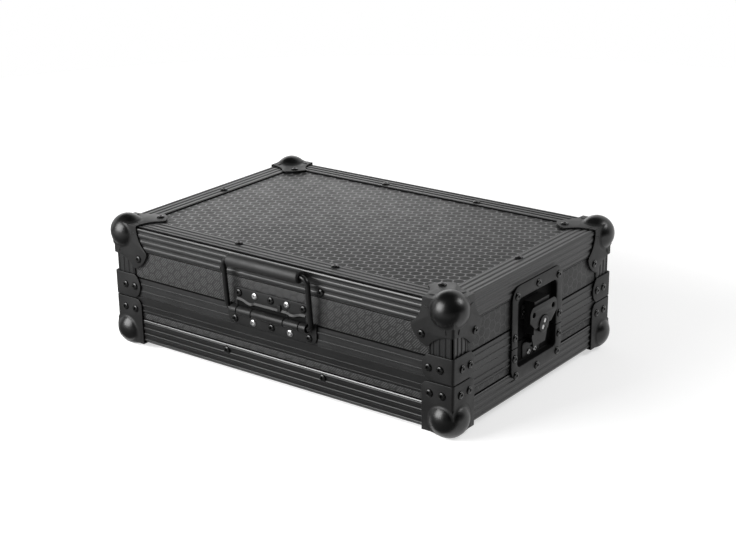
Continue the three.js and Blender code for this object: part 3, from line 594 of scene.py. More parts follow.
def double_angle(low_crown, high_crown, width, notch=DEEP_NOTCH):
    """Section of the double-angle edging, both numbers inward from the two outer faces.

    The crowns are those of the ribs on the face that is level and on the one that stands."""
    legs = []
    for crown in (low_crown, high_crown):
        ribbed = ribs(FIRST_RIB, RIB_PITCH, 4, width, crown)
        legs.append(notch + [point for point in ribbed if FIRST_RIB <= point[0] <= LAST_RIB] + LEG_LIP)
    tip = FIN + FIN_REACH
    inner = [
        (LEG, LEG_WALL), (FIN, LEG_WALL), (FIN, SLOT), (tip, SLOT), (tip, FIN), (FIN, FIN),
        (FIN, tip), (SLOT, tip), (SLOT, FIN), (LEG_WALL, FIN), (LEG_WALL, LEG),
    ]
    return legs[0] + inner + [(y, x) for x, y in reversed(legs[1][1:])]


def on_end(inward, other):
    """Painted shade on the end of either leg of the double angle."""
    return int(max(inward, other) > LEG - 0.04)


def on_end_or_notch(inward, other):
    """Painted shade on the legs' ends and in the notch along the corner."""
    in_notch = min(inward, other) > 1 and max(inward, other) < 4.5
    return 1 if in_notch else on_end(inward, other)


def edge_tone(dark, span, from_top):
    """Tone of a double angle: 2 on the lip, lighter as a painted highlight and glossier, and what dark says
    elsewhere.
    """
    def tone(middle):
        height = SHELL_HEIGHT - middle.z if from_top else middle.z
        if middle.y < LIP_DEPTH and span[0] < height < span[1]:
            return 2
        return dark(middle.y, height)

    return tone


def rim_face(mouth, end, outer):
    """Outer face of a closing extrusion, from the mouth to its other end, bevelled at both."""
    bevel = BEVEL if end > mouth else -BEVEL
    start = [(RIB_HEIGHT + BEVEL, mouth), (RIB_HEIGHT, mouth + bevel)]
    return start + outer + [(RIB_HEIGHT, end - bevel), (RIB_HEIGHT + BEVEL, end), (LEG_WALL, end)]


def lid_rim():
    """Section of the lid's closing extrusion: how far inward and how high each point lies."""
    low, high, web = SPLIT + GAP / 2, LID_RIM_TOP, SPLIT + WEB
    outer = [(deep, SPLIT + z) for z, deep in ribs(*LID_RIM_RIBS, RIM_RIB, RIM_CROWN)]
    return rim_face(low, high, outer) + [
        (LEG_WALL, web + FIN_WALL), (SLOT, web + FIN_WALL), (SLOT, high), (FIN, high), (FIN, low),
        (SLOT, low), (SLOT, web), (LEG_WALL, web), (LEG_WALL, low),
    ]


def base_rim():
    """Section of the base's closing extrusion, with the tongue that stands in the lid's groove."""
    low, high, tip = BASE_RIM_BOTTOM, SPLIT - GAP / 2, SPLIT + TONGUE
    outer = [(deep, SPLIT - z) for z, deep in ribs(*BASE_RIM_RIBS, RIM_RIB, RIM_CROWN)]
    return rim_face(high, low, outer) + [
        (LEG_WALL, high - FIN_WALL), (SLOT, high - FIN_WALL), (SLOT, low), (FIN, low), (FIN, high),
        (SLOT - TONGUE_FOOT, high), (SLOT - TONGUE_TIP, tip), (LEG_WALL + TONGUE_TIP, tip),
        (LEG_WALL + TONGUE_FOOT, high),
    ]


def bar(section, start, end):
    """A section drawn out between two ends, each a place along the side or a mitre's."""
    section = thinned(section)
    vertices = []
    for place in (start, end):
        vertices += [(place(x) if callable(place) else place, x, z) for x, z in section]
    count = len(section)
    faces = skin(2, count)
    for triangle in triangles(section):
        faces += [tuple(triangle), tuple(i + count for i in triangle)]
    return vertices, faces


def mitre(length, way):
    """Where a bar ends at each distance inward, on its low (-1) or its high (1) end."""
    return lambda inward: way * (length / 2 - inward - GAP * sqrt(0.5))


def on_rim(middle):
    """Painted shade on the end of a rim that meets the wall."""
    return int(middle.z > LID_RIM_TOP - 0.3 or middle.z < BASE_RIM_BOTTOM + 0.3)


def make_bars():
    """The double angle and the closing extrusion along each side, with only a strip behind a dish."""
    lid_strip = box_outline(SLOT, SPLIT + GAP / 2, FIN, LID_RIM_TOP)
    base_strip = box_outline(SLOT, BASE_RIM_BOTTOM, FIN, SPLIT - GAP / 2)
    for side, place in SIDES.items():
        if side in LATCHED:
            length, notch, dark, materials = SHELL_DEPTH, SHALLOW_NOTCH, on_end, ALONG_Y
        else:
            length, notch, dark, materials = SHELL_WIDTH, DEEP_NOTCH, on_end_or_notch, ALONG_X
        # the base's copies are darker, painted shade; tone 1 is painted shade on ends and notches, tone 2 a
        # painted highlight on the lips
        edging, shaded_base_edging, rim, shaded_base_rim = materials
        lid_edge = [(a, SHELL_HEIGHT - b) for a, b in double_angle(TOP_CROWN, LID_CROWN, LID_RIB, notch)]
        base_edge = double_angle(BASE_CROWN, BASE_CROWN, BASE_RIB, notch)
        on_lid_edge, on_base_edge = edge_tone(dark, LID_LIP_SPAN, True), edge_tone(dark, BASE_LIP_SPAN, False)
        low, high = mitre(length, -1), mitre(length, 1)
        for name, body, section, tone, looks, behind_pan in (
            ("lid_edge", "lid", lid_edge, on_lid_edge, (edging, PAINTED_SHADE, LID_LIP_HIGHLIGHT), None),
            ("base_edge", "base", base_edge, on_base_edge, (shaded_base_edging, PAINTED_SHADE, BASE_LIP_HIGHLIGHT), None),
            ("lid_rim", "lid", lid_rim(), on_rim, (rim, PAINTED_SHADE), lid_strip),
            ("base_rim", "base", base_rim(), on_rim, (shaded_base_rim, PAINTED_SHADE), base_strip),
        ):
            lengths = [(section, low, high, tone)]
            if behind_pan and side in LATCHED:
                lengths = [
                    (section, low, -PAN_CUT, tone), (behind_pan, -PAN_CUT, PAN_CUT, None),
                    (section, PAN_CUT, high, tone),
                ]
            shape = Shape()
            for outline, start, end, shade in lengths:
                shape.add(bar(outline, start, end), placed(place), shade)
            shape.make(f"{name}_drawn_{side}", looks, body, [f"{name}_{side}"], "edging", EDGING_CREASE)


def make_posts():
    bottom, top = LID_RIM_TOP + GAP, SHELL_HEIGHT - LEG - GAP
    stand_up = Matrix(((0, 1, 0), (0, 0, 1), (1, 0, 0))).to_4x4()
    section = bar(double_angle(LID_CROWN, LID_CROWN, BASE_RIB), bottom, top)
    for name, place in CORNERS.items():
        post = Shape()
        # painted shade on the legs' ends and in the notch
        post.add(section, placed(place) @ stand_up, lambda middle: on_end_or_notch(middle.y, middle.z))
        nodes = [f"lid_post_{name}"]
        post.make(f"lid_post_drawn_{name}", (EDGING_Z, PAINTED_SHADE), "lid", nodes, "edging", EDGING_CREASE)


# Panels

PANEL_END = FIN + GAP
PANEL_FACE, PANEL_BACK, SEAM_DEPTH, SEAM = 1.8, 8.8, 3.0, 1.2
CORE_FRONT = -PANEL_FACE - SEAM_DEPTH
FACE_ROUND, OVERLAP = 0.35, 0.1
NOTCH_BOTTOM, NOTCH_TOP = 32.5, 116.5
UNDER_CORNER = 2


def on_core(middle):
    """Painted shade where a panel's core shows at the bottom of the seam."""
    return int(middle.z > CORE_FRONT - 0.01)


def on_face(middle):
    """Painted shade on the flanks of a panel's face, which line the seam."""
    return int(middle.z < -PANEL_FACE - FACE_ROUND - 0.01)


def make_panel(name, node, body, material, core, faces, here):
    """A core in the edging's slots and faces that stop short of the edging: a seam is left, darkened with
    painted shade.
    """
    panel = Shape().add(sheet(core, -PANEL_BACK, CORE_FRONT), here, on_core)
    for face in faces:
        panel.add(sheet(face, CORE_FRONT - OVERLAP, -PANEL_FACE, edge=FACE_ROUND), here, on_face)
    panel.make(name, (material, PAINTED_SHADE), body, [node], "laminated_plywood")


def wall_core(half, bottom, top):
    """A latched wall seen from outside, with the notch that the dish sits in."""
    if top > NOTCH_TOP:
        return both_ways([(PAN_CUT, NOTCH_TOP), (PAN_CUT, bottom), (half, bottom), (half, top)])
    return both_ways([(half, bottom), (half, top), (PAN_CUT, top), (PAN_CUT, NOTCH_BOTTOM)])


def make_walls():
    lid_low, lid_high = SPLIT + WEB + FIN_WALL + GAP, SHELL_HEIGHT - PANEL_END
    base_low, base_high = PANEL_END, SPLIT - GAP / 2 - FIN_WALL - GAP
    for side in SIDES:
        notched = side in LATCHED
        middle = (SHELL_DEPTH if notched else SHELL_WIDTH) / 2
        material = LAMINATE_SIDE if notched else LAMINATE_FRONT
        base_end = PANEL_BACK + GAP if notched else PANEL_FACE
        for body, bottom, top, end, seen_low, seen_high, seen_end in (
            ("lid", lid_low, lid_high, PANEL_END, LID_RIM_TOP, SHELL_HEIGHT - LEG, LEG),
            ("base", base_low, base_high, base_end, LEG, BASE_RIM_BOTTOM, UNDER_CORNER),
        ):
            half, seen = middle - end, middle - seen_end - SEAM
            core = wall_core(half, bottom, top) if notched else box_outline(-half, bottom, half, top)
            spans = [(-seen, -PAN_CUT), (PAN_CUT, seen)] if notched else [(-seen, seen)]
            faces = [box_outline(left, seen_low + SEAM, right, seen_high - SEAM) for left, right in spans]
            names = f"{body}_wall_panel_{side}", f"{body}_wall_{side}"
            make_panel(*names, body, material, core, faces, on_side(side))


def make_top_panel():
    here = spot(0, SHIFT, STAND + SHELL_HEIGHT)
    core, face = plan(PANEL_END), plan(LEG + SEAM)
    make_panel("lid_top_laminate", "lid_top_panel", "lid", LAMINATE_TOP, core, [face], here)


# Rivets

RIVET_SIZE = 1.28
RIVET_PROFILE = [
    (3.65, -0.4), (3.65, 0.35), (3.45, 0.9), (2.9, 1.45), (2.2, 1.8), (1.7, 1.88), (1.35, 1.8), (1.2, 1.55),
    (1.2, 0.5), (0, 0.5),
]


def rivet(scale=1.0):
    """A pop rivet's domed head with the hole of its broken mandrel."""
    return lathe([(RIVET_SIZE * radius * scale, height * scale) for radius, height in RIVET_PROFILE], 28)


def mandrel(scale):
    """The broken end of the mandrel down a rivet's hole."""
    return lathe([(1.25 * scale, 0.4), (1.25 * scale, 0.75), (0.9 * scale, 1.0), (0, 1.05)], 16)


def make_rivets(name, body, places, scale=1.0):
    """One piece of black rivets with painted shade on their flanks and in their holes."""
    rivets = Shape()
    for place in places:
        rivets.add(rivet(scale), place, lambda middle: int(middle.z < 1.1 * scale))
    rivets.make(name, (RIVET, PAINTED_SHADE), body)


def make_edge_rivets():
    apart, lid_height, base_height = 71, 124, 23
    long_sides = [(side, x) for side in ("front", "back") for x in (-apart, apart)]
    on_lid = [on_side(side, x, lid_height) for side, x in long_sides]
    for x, y in ((179, 23), (319, 23), (177, 310), (316, 310), (22, 173), (468, 163)):
        on_lid.append(on_top(x, y))
    make_rivets("edging_rivets_lid", "lid", on_lid)
    make_rivets("edging_rivets_base", "base", [on_side(side, x, base_height) for side, x in long_sides])


# Corners

CORNER_SHEET = 1.4
PROUD = GAP + CORNER_SHEET
FOLD_ROUND = 3.2
FOLD_START = FOLD_ROUND - PROUD
FOLD_INSIDE = 20
MITRES = [((0, 0, 0), (1, 0, 1)), ((0, 0, 0), (0, 1, 1))]
UNDER_BALL = [((7.5, 7.5, 0), (1, 1, 0))]
LEVEL_FACE = MITRES + UNDER_BALL
UPRIGHT_FACE = [((FOLD_START, 0, 0), (1, 0, 0)), MITRES[1]] + UNDER_BALL
BALL_RADIUS, BALL_INSET = 21.15, 11.6
DOME_RADIUS, DOME_INSET = 22.5, 13.3
FILLET = 5.5
EDGE_ROUND = 0.55
LOBE_START = 38


def corner_faces(rise):
    """Frames of the three faces at a corner: X and Y run inward from it and Z points out.

    rise is 1 for a bottom corner and -1 for a top one."""
    rows = (
        ((1, 0, 0), (0, 1, 0), (0, 0, -rise)),
        ((1, 0, 0), (0, 0, -1), (0, rise, 0)),
        ((0, 0, -1), (1, 0, 0), (0, rise, 0)),
    )
    return [Matrix(face).to_4x4() for face in rows]


def flank(front, edge, number=1):
    """Tone for a plate: painted shade on its flanks below the rounded edge."""
    return lambda middle: number if middle.z < front - edge - 0.01 else 0


def fold(low, high, thick=CORNER_SHEET):
    """The rounded fold between two plates, run along a corner's edge between two distances from it."""
    centre = FOLD_ROUND - GAP - thick
    section = arc(centre, centre, FOLD_ROUND, 180, 270, 10)
    section += arc(centre, centre, FOLD_ROUND - thick, 270, 180, 6)
    return sheet(section, low, high, edge=0.3, both=True)


def ball(radius, centre_inset, rise):
    """The part of a ball outside the shell, in the corner's own frame."""
    whole = lathe(arc(0, 0, radius, -90, 90, 32), 64)
    whole = shifted(whole, spot(centre_inset, centre_inset, rise * centre_inset))
    return without(whole, lambda v: min(v.x, v.y, rise * v.z) > 0.8)


def fillet_ring(radius, centre_inset):
    """The hollow between a face's plate and the ball, in the face's frame."""
    deep = centre_inset + PROUD
    reach = sqrt((radius + FILLET) ** 2 - (deep + FILLET) ** 2)
    lean = degrees(atan2(reach, deep + FILLET))
    profile = [(reach + 0.8, PROUD)] + arc(reach, PROUD + FILLET, FILLET, 270, 270 - lean, 6)
    ring = lathe([(x, y + 0.03) for x, y in profile], 72)
    return clip(shifted(ring, spot(centre_inset, centre_inset, 0)), LEVEL_FACE)


def lobe():
    """Outline of one face of a ball corner: hollow flanks and a blunt, slightly rounded end."""
    side = bezier((LOBE_START, 0), (LOBE_START, 13), (43.5, 22.5), (50.2, 28.2), 8)
    side += bezier((50.2, 28.2), (52.6, 30.2), (53.5, 31.4), (52.5, 34.2), 5)[1:]
    points = [(-PROUD, -PROUD), (LOBE_START, -PROUD)] + side
    points += arc(22.8, 22.8, 31.8, 21, 69, 14)[1:-1]
    return points + [(y, x) for x, y in reversed(side)] + [(-PROUD, LOBE_START)]


def pleat(u, v, lean):
    """A small raised crease that the press leaves beside the ball."""
    crease = lathe([(0.8 * x, 3.6 * z) for x, z in arc(0, 0, 1, -90, 90, 10)], 14)
    return shifted(crease, spot(u, v, PROUD) @ turned(lean, "Z") @ turned(90, "X"))


def make_on_corners(name, node, body, height, rise, faces, bend, sphere=None, front=PROUD):
    """A pressed piece on each corner of the lid or the base, and its rivets.

    faces has each face's plate, what is pressed in it and its rivets. sphere is the ball's part."""
    rims = corner_faces(rise)[-len(faces):]
    for corner, place in CORNERS.items():
        here = placed(place, height)
        shell, rivets = Shape(), []
        if sphere:
            shell.add(sphere, here, lambda middle: 1)
        for rim, (plate, pressed, spots) in zip(rims, faces):
            # painted shade on the plates' flanks
            shell.add(plate, here @ rim, flank(front, EDGE_ROUND, 2))
            for part in pressed:
                shell.add(part, here @ rim)
            rivets += [here @ rim @ spot(u, v, front) for u, v in spots]
        shell.add(bend, here @ Matrix.Scale(rise, 4, (0, 0, 1)))
        shell.make(f"{name}_{corner}", (COATED, GLOSSY, PAINTED_SHADE), body, [f"{node}_{corner}"])
        make_rivets(f"{name}_rivets_{corner}", body, rivets)


def make_ball_corners():
    plate = sheet(lobe(), GAP, PROUD, edge=EDGE_ROUND)
    pressed = [fillet_ring(BALL_RADIUS, BALL_INSET), pleat(8.4, 32.4, 12), pleat(32.4, 8.4, 78)]
    level, upright = clip(plate, LEVEL_FACE), clip(plate, UPRIGHT_FACE)
    faces = [(shaped, pressed, [(39, 40)]) for shaped in (level, upright, upright)]
    bend, sphere = fold(FOLD_INSIDE, LOBE_START), ball(BALL_RADIUS, BALL_INSET, -1)
    make_on_corners("ball_corner", "lid_ball", "lid", SHELL_HEIGHT, -1, faces, bend, sphere)


def make_base_corners():
    top, reach, radius = 56, 39, 9
    ring = fillet_ring(DOME_RADIUS, DOME_INSET)
    upright = (top, UPRIGHT_FACE, [(12.3, 43), (28.7, 43)])
    faces = []
    for high, planes, spots in ((reach, LEVEL_FACE, [(30, 30)]), upright, upright):
        outline = [(-PROUD, -PROUD), (reach, -PROUD)] + arc(reach - radius, high - radius, radius, 0, 90, 8)
        plate = sheet(outline + [(-PROUD, high)], GAP, PROUD, edge=EDGE_ROUND)
        faces.append((clip(plate, planes), [ring], spots))
    vertices, rest = ball(DOME_RADIUS, DOME_INSET, 1)
    dome = [Vector((v.x, v.y, max(v.z, -STAND))) for v in vertices], rest
    make_on_corners("stand_corner", "base_corner", "base", 0, 1, faces, fold(FOLD_INSIDE, top), dome)


def make_braces():
    height, drop, reach, bulge, thick = 29.5, 2, 39, 8, 1.5
    half, front = height / 2, GAP + thick
    radius = (half * half + bulge * bulge) / (2 * bulge)
    middle = SPLIT - drop + half
    spread = degrees(asin(half / radius))
    outline = [(-front, middle - half)] + arc(reach - radius, middle, radius, -spread, spread, 16)
    outline += [(-front, middle + half)]
    plate = clip(sheet(outline, GAP, front, edge=EDGE_ROUND), [((FOLD_ROUND - front, 0, 0), (1, 0, 0))])
    faces = [(plate, [], [(15, 72), (30, 72)])] * 2
    bend = fold(middle - half, middle + half, thick)
    make_on_corners("brace", "lid_brace", "lid", 0, 1, faces, bend, front=front)


# Latches

DISH_RIVETS_UPPER = [(-44, 120), (0, 123), (44, 120), (-47.5, 72), (47.5, 72)]
DISH_RIVETS_LOWER = [(-47.5, 47.5), (47.5, 47.5), (-44.5, 26.5), (0, 24), (44.5, 26.5)]
RIM_HALF, RIM_BOTTOM, RIM_TOP = 53.5, 21, 131
PAN_HALF, PAN_BOTTOM, PAN_TOP = 41, 34, 115
PAN_FLOOR, PAN_WALL = -7.0, 1.2
MOUTH_ROUND, PAN_ROUND = 1.6, 1.5
FLANGE = 2.2
DISH_SPLIT = 0.6
CAM_HEIGHT, CAM_RADIUS = 76, 10
WING_BACK, WING_FRONT = 8.3, 9.7


def dish_section():
    """Loops of the whole pressed dish, from the flange's rim in and down to the pan's floor."""
    def loop(half, bottom, top, grown, radius, height):
        x = half + grown
        return [(*point, height) for point in rounded(-x, bottom - grown, x, top + grown, radius, 7)]

    rim, pan = (RIM_HALF, RIM_BOTTOM, RIM_TOP), (PAN_HALF, PAN_BOTTOM, PAN_TOP)
    loops = [
        loop(*rim, 0, 15, GAP), loop(*rim, 0, 15, FLANGE - 0.5),
        loop(*rim, -0.15, 14.9, FLANGE - 0.15), loop(*rim, -0.5, 14.6, FLANGE),
    ]
    for a in quarter(5):
        height = FLANGE - MOUTH_ROUND * (1 - cos(a))
        loops.append(loop(*pan, MOUTH_ROUND * (1 - sin(a)), 6.5, height))
    for a in quarter(3):
        height = PAN_FLOOR + PAN_ROUND * (1 - sin(a))
        loops.append(loop(*pan, -PAN_ROUND * (1 - cos(a)), 5.5, height))
    return loops


def pressed_dish():
    """The whole dish, with the underside of its floor."""
    loops = dish_section()
    count, last = len(loops[0]), (len(loops) - 1) * len(loops[0])
    vertices = [v for ring in loops for v in ring] + [(x, y, z - PAN_WALL) for x, y, z in loops[-1]]
    faces = skin(len(loops), count)
    faces.append(tuple(range(last, last + count)))
    faces.append(tuple(range(last + count, last + 2 * count))[::-1])
    return vertices, faces


def dish_cut():
    """The section that closes a half of the dish at the split: across it and outward."""
    outer = PAN_HALF + PAN_WALL
    return both_ways([
        (PAN_HALF, PAN_FLOOR), (PAN_HALF, FLANGE), (RIM_HALF, FLANGE), (RIM_HALF, GAP), (outer, GAP),
        (outer, PAN_FLOOR - PAN_WALL),
    ])


def add_keeper(shell, here):
    plate = rounded(-18, 36, 18, 54, 2, 4, top_radius=3)
    shell.add(sheet(plate, PAN_FLOOR - 0.2, PAN_FLOOR + PAN_WALL, edge=0.4), here)
    shell.add(sheet(box_outline(-12, 54, 12, 55.2), PAN_FLOOR, 0.5, edge=0.35), here)


def make_dishes():
    """Each dish in two halves, the lower one with the keeper, and the rivets round and in them."""
    dish, cut = pressed_dish(), dish_cut()
    for side in LATCHED:
        here = on_side(side)
        for word, body, way, rivets in (
            ("upper", "lid", 1, DISH_RIVETS_UPPER), ("lower", "base", -1, DISH_RIVETS_LOWER),
        ):
            height = SPLIT + way * DISH_SPLIT
            half = clip(dish, [((0, height, 0), (0, way, 0))])
            # painted shade inside the pan and on the flange's outer flank
            shell = Shape().add(half, here, lambda middle: int(middle.z < FLANGE - 0.6))
            shell.add(([(x, height, z) for x, z in cut], [tuple(t) for t in triangles(cut)]), here)
            if body == "base":
                add_keeper(shell, here)
            shell.make(f"dish_{word}_{side}", (COATED, PAINTED_SHADE), body, [f"latch_dish_{word}_{side}"])
            make_rivets(f"dish_rivets_{word}_{side}", body, [here @ spot(x, z, FLANGE) for x, z in rivets])
        on_keeper = Shape()
        for x in (-5.5, 7.5):
            on_keeper.add(rivet(0.8), here @ spot(x, 40.2, PAN_FLOOR + PAN_WALL))
        on_keeper.make(f"keeper_rivets_{side}", SCREW, "base", slot="bright_rivet")
        on_ears = [here @ spot(x, 92, PAN_FLOOR + 1.8) for x in (-19, 19)]
        make_rivets(f"bracket_rivets_{side}", "lid", on_ears, 0.7)


def wing_outline():
    """The butterfly, whose foot is cut out round the cam's head."""
    foot, shoulder, top, half, rounding, inner = 74.4, 84.5, 101, 28.5, 8, CAM_RADIUS + 0.6
    right = [(inner, foot), (17, foot), (half, shoulder)]
    right += arc(half - rounding, top - rounding, rounding, 0, 90, 8)
    return both_ways(right) + arc(0, CAM_HEIGHT, inner, 180, 0, 20)


def make_wings():
    hole_x, hole_height, hole_radius = 20.5, 92, 3.2
    holes = [circle(x, hole_height, hole_radius, 20) for x in (-hole_x, hole_x)]
    plate = sheet(wing_outline(), WING_BACK, WING_FRONT, holes=holes, edge=0.4, both=True)
    middle = (WING_BACK + WING_FRONT) / 2
    pins = [tube([(way * x, CAM_HEIGHT, middle) for x in (9, 12.2)], 1.0, 14) for way in (-1, 1)]
    for side in LATCHED:
        here = on_side(side)
        # painted shade on the wing's flanks
        wing = Shape().add(plate, here, flank(WING_FRONT, 0.4))
        for pin in pins:
            wing.add(pin, here)
        wing.make(f"butterfly_{side}", (COATED, PAINTED_SHADE), f"wing_{side}", [f"latch_wing_{side}"])


def make_cams():
    """Each cam: a round head with two bright slots, a stem and the eccentric behind the channel."""
    front, slot_floor, throw = 11, 10.6, 3
    slots = [rounded(-2.2, y - 2.3, 2.2, y + 2.3, 1.3, 5) for y in (-3.9, 3.9)]
    head = sheet(circle(0, 0, CAM_RADIUS, 48), 7.1, front, holes=slots, edge=0.5)
    floor = lathe([(0, slot_floor), (8, slot_floor), (8, slot_floor - 1)], 32)
    stem = lathe([(4.5, 7.4), (4.5, 5)], 24)
    eccentric = lathe([(0, 3.5), (5, 3.5), (5, 5.15), (0, 5.15)], 32)
    tilt = turned(-28, "Z")
    for side in LATCHED:
        here = on_side(side, 0, CAM_HEIGHT)
        # painted shade on the head's flanks
        cam = Shape().add(head, here @ tilt, flank(front, 0.5, 2)).add(stem, here)
        cam.add(eccentric, here @ spot(0, throw, 0))
        cam.add(floor, here, lambda middle: 1)
        cam.make(f"cam_head_{side}", (COATED, SILVER, PAINTED_SHADE), f"cam_{side}", [f"latch_cam_{side}"])


# Handle

HANDLE_HEIGHT, HANDLE_OUT, HANDLE_LEAN = 80, 5.5, 4.8
HANDLE_LENGTH = 61.7
PLATE_FRONT = 1.5
KNUCKLES = ((-55.5, -46), (-45, -24), (-23, 23), (24, 45), (46, 55.5))
KNUCKLE_RADIUS, KNUCKLE_BORE, KNUCKLE_ROUND = 5.2, 4.3, 0.5


def handle_frame(lean):
    """Frame on the handle's axis: X along it, Z up its legs, tilted out by some degrees."""
    return placed(SIDES["front"]) @ spot(0, -HANDLE_OUT, HANDLE_HEIGHT) @ turned(lean, "X")


def window_outline():
    """The opening in the handle's plate, its upper edge a shallow wave."""
    bottom, end, dip, middle = 81.8, 91.0, 87.3, 89.2
    right = [(50, bottom), (50, end)]
    right += bezier((46, end), (40, end), (36, dip), (31, dip), 8)
    return both_ways(right + bezier((29, dip), (26.5, dip), (25.5, middle), (23, middle), 6))


def handle_plate_outline():
    half, bottom, shoulder, strap, top = 65, 60.7, 85.5, 54.5, 106
    right = arc(half - 8, bottom + 8, 8, 270, 360, 6) + [(half, shoulder), (strap, shoulder)]
    return both_ways(right + arc(strap - 3, top - 3, 3, 0, 90, 5))


def window_lip():
    """The sloping lip along the window's upper edge."""
    path = [Vector(point) for point in window_outline() if point[1] > 87]
    section = ((3.0, PLATE_FRONT - 0.1), (0.4, PLATE_FRONT + 1.25), (-0.1, PLATE_FRONT + 1.1), (-0.2, GAP))
    vertices = []
    for i, point in enumerate(path):
        along = (path[min(i + 1, len(path) - 1)] - path[max(i - 1, 0)]).normalized()
        away = Vector((-along.y, along.x))
        away = away if away.y >= 0 else -away
        vertices += [(point + offset * away).to_3d() + Vector((0, 0, out)) for offset, out in section]
    return vertices, skin(len(path), len(section), closed=False)


def knuckle(low, high):
    """A rolled knuckle round the handle's axis, between two places along it."""
    half, edge = (high - low) / 2, KNUCKLE_RADIUS - KNUCKLE_ROUND
    profile = [(KNUCKLE_BORE, KNUCKLE_ROUND - half), (KNUCKLE_BORE + 0.3, -half)]
    profile += arc(edge, KNUCKLE_ROUND - half, KNUCKLE_ROUND, 270, 360, 4)
    return shifted(lathe(both_ways(profile, (1, -1)), 40), spot(0, 0, (low + high) / 2))


def make_handle_plate():
    here = on_side("front")
    plate = Shape()
    pressed = sheet(handle_plate_outline(), GAP, PLATE_FRONT, holes=[window_outline()], edge=0.4)
    # painted shade on the plate's flanks
    plate.add(pressed, here, flank(PLATE_FRONT, 0.4))
    plate.add(window_lip(), here)
    # A near-black sheet behind the window: painted shade in the gap behind the knuckles
    shade_backing = rounded(-51, 81, 51, 92, 0.5, 2)
    plate.add(sheet(shade_backing, GAP, GAP + 0.2), here, lambda middle: 1)
    along = spot(0, HANDLE_HEIGHT, HANDLE_OUT) @ turned(90, "Y")
    for low, high in KNUCKLES:
        plate.add(knuckle(low, high), here @ along)
        web = box_outline(low, 76.2, high, HANDLE_HEIGHT)
        plate.add(sheet(web, PLATE_FRONT - 0.1, PLATE_FRONT + 0.4), here)
    catch, front = rounded(10.6, 89.5, 15.4, 97.3, 0.8, 3), PLATE_FRONT + 1.9
    # painted shade on the catch's flanks
    plate.add(sheet(catch, PLATE_FRONT - 0.1, front, edge=0.4), here, flank(front, 0.4))
    plate.make("handle_base", (COATED, PAINTED_SHADE), "lid", ["handle_plate"])


def make_handle_rivets():
    """Two rows of rivets through the plate, black and bright by turns."""
    black, bright_ones = [], Shape()
    for pitch, z in ((27.2, 67), (23.5, 99.8)):
        for k in range(-2, 3):
            where = on_side("front", k * pitch, z, PLATE_FRONT)
            if k % 2:
                bright_ones.add(rivet(0.92), where).add(mandrel(0.92), where)
            else:
                black.append(where)
    make_rivets("handle_rivets_black", "lid", black)
    bright_ones.make("handle_rivets_bright", SILVER, "lid", slot="bright_rivet")


def make_bail():
    leg, foot, top, rod = 61, 5.5, 9, 3.0
    right = [(1, 0), (leg - foot - 2, 0)] + arc(leg - foot, foot, foot, -90, 0, 8)
    path = both_ways(right + arc(leg - top, HANDLE_LENGTH - top, top, 0, 90, 10))
    bail = Shape().add(tube([(x, 0, z) for x, z in path], rod, 20), handle_frame(HANDLE_LEAN))
    bail.make("bail", GLOSSY, "handle", ["handle_bail"])


def make_grip():
    half, radius, rounding, bore, lip = 52, 7.75, 1.8, 3.3, 0.6
    profile = [(bore, 1 - half)] + arc(bore + 0.5, lip - half, lip, 180, 270, 3)
    profile += arc(radius - rounding, rounding - half, rounding, 270, 360, 5)
    across = spot(0, 0, HANDLE_LENGTH) @ turned(90, "Y")
    grip = Shape().add(lathe(both_ways(profile, (1, -1)), 48), handle_frame(HANDLE_LEAN) @ across)
    grip.make("grip", GRIP, "handle", ["handle_grip"], slot="handle_grip")


def make_spring():
    turns, steps, pitch, radius, end, wire = 6, 20, 1.2, 3.6, 23.5, 0.35
    points = []
    for i in range(turns * steps + 1):
        a = tau * i / steps
        points.append((end - pitch * (turns - i / steps), radius * cos(a), radius * sin(a)))
    points.append((end, radius, 16))
    spring = Shape().add(tube(points, wire, 8), handle_frame(0))
    spring.make("return_spring", WIRE, "lid", ["handle_spring"], slot="spring_wire")


# Foam


def make_foam():
    """The insert with its well, and the pad under the top."""
    bottom, well_floor, top, wall = PANEL_END, 20.4, 50, 24
    here = spot(0, SHIFT, STAND)
    body, well = plan(bottom, 1.5, 3), plan(bottom + wall, 12, 8)
    insert = Shape().add(sheet(body, well_floor, top, holes=[well], edge=1.8, steps=4), here)
    insert.add(sheet(body, bottom, well_floor + 0.2, edge=0.5), here)
    block = insert.make("foam_insert", FOAM, "base", ["base_foam"], slot="foam")
    low, high = SHELL_HEIGHT - 21.1, SHELL_HEIGHT - 9.1
    pad = Shape().add(sheet(plan(22.6, 4, 5), low, high, edge=2.2, steps=4, both=True), here)
    pad.make("foam_pad", FOAM, "lid", ["lid_foam"], slot="foam")


make_bars()
make_posts()
make_walls()
make_top_panel()
make_ball_corners()
make_base_corners()
make_braces()
make_edge_rivets()
make_dishes()
make_wings()
make_cams()
make_handle_plate()
make_handle_rivets()
make_bail()
make_grip()
make_spring()
make_foam()


# Camera, light and floor. Places are in metres.

CAMERA_PLACE = (1.07337, -1.39874, 0.72604)
CAMERA_AZIMUTH, CAMERA_ELEVATION, CAMERA_ROLL = 37.144, 20.002, -0.797
CAMERA_SENSOR, CAMERA_LENS = 36, 76.23
WORLD_LIGHT = 0.26
FLOOR_GLOW, FLOOR_RADIUS, FLOOR_SIDES = 0.55, 1.7, 96


def make_camera():
    data = bpy.data.cameras.new("camera")
    data.sensor_width = CAMERA_SENSOR
    data.lens = CAMERA_LENS
    camera = put("camera", data)
    turn = turned(CAMERA_AZIMUTH, "Z") @ turned(90 - CAMERA_ELEVATION, "X") @ turned(CAMERA_ROLL, "Z")
    camera.matrix_world = spot(*CAMERA_PLACE) @ turn
    bpy.context.scene.camera = camera


def aimed(name, data, place, target):
    """An object at a place that faces a target."""
    made = put(name, data)
    made.location = place
    made.rotation_euler = (Vector(target) - Vector(place)).to_track_quat("-Z", "Y").to_euler()
    return made


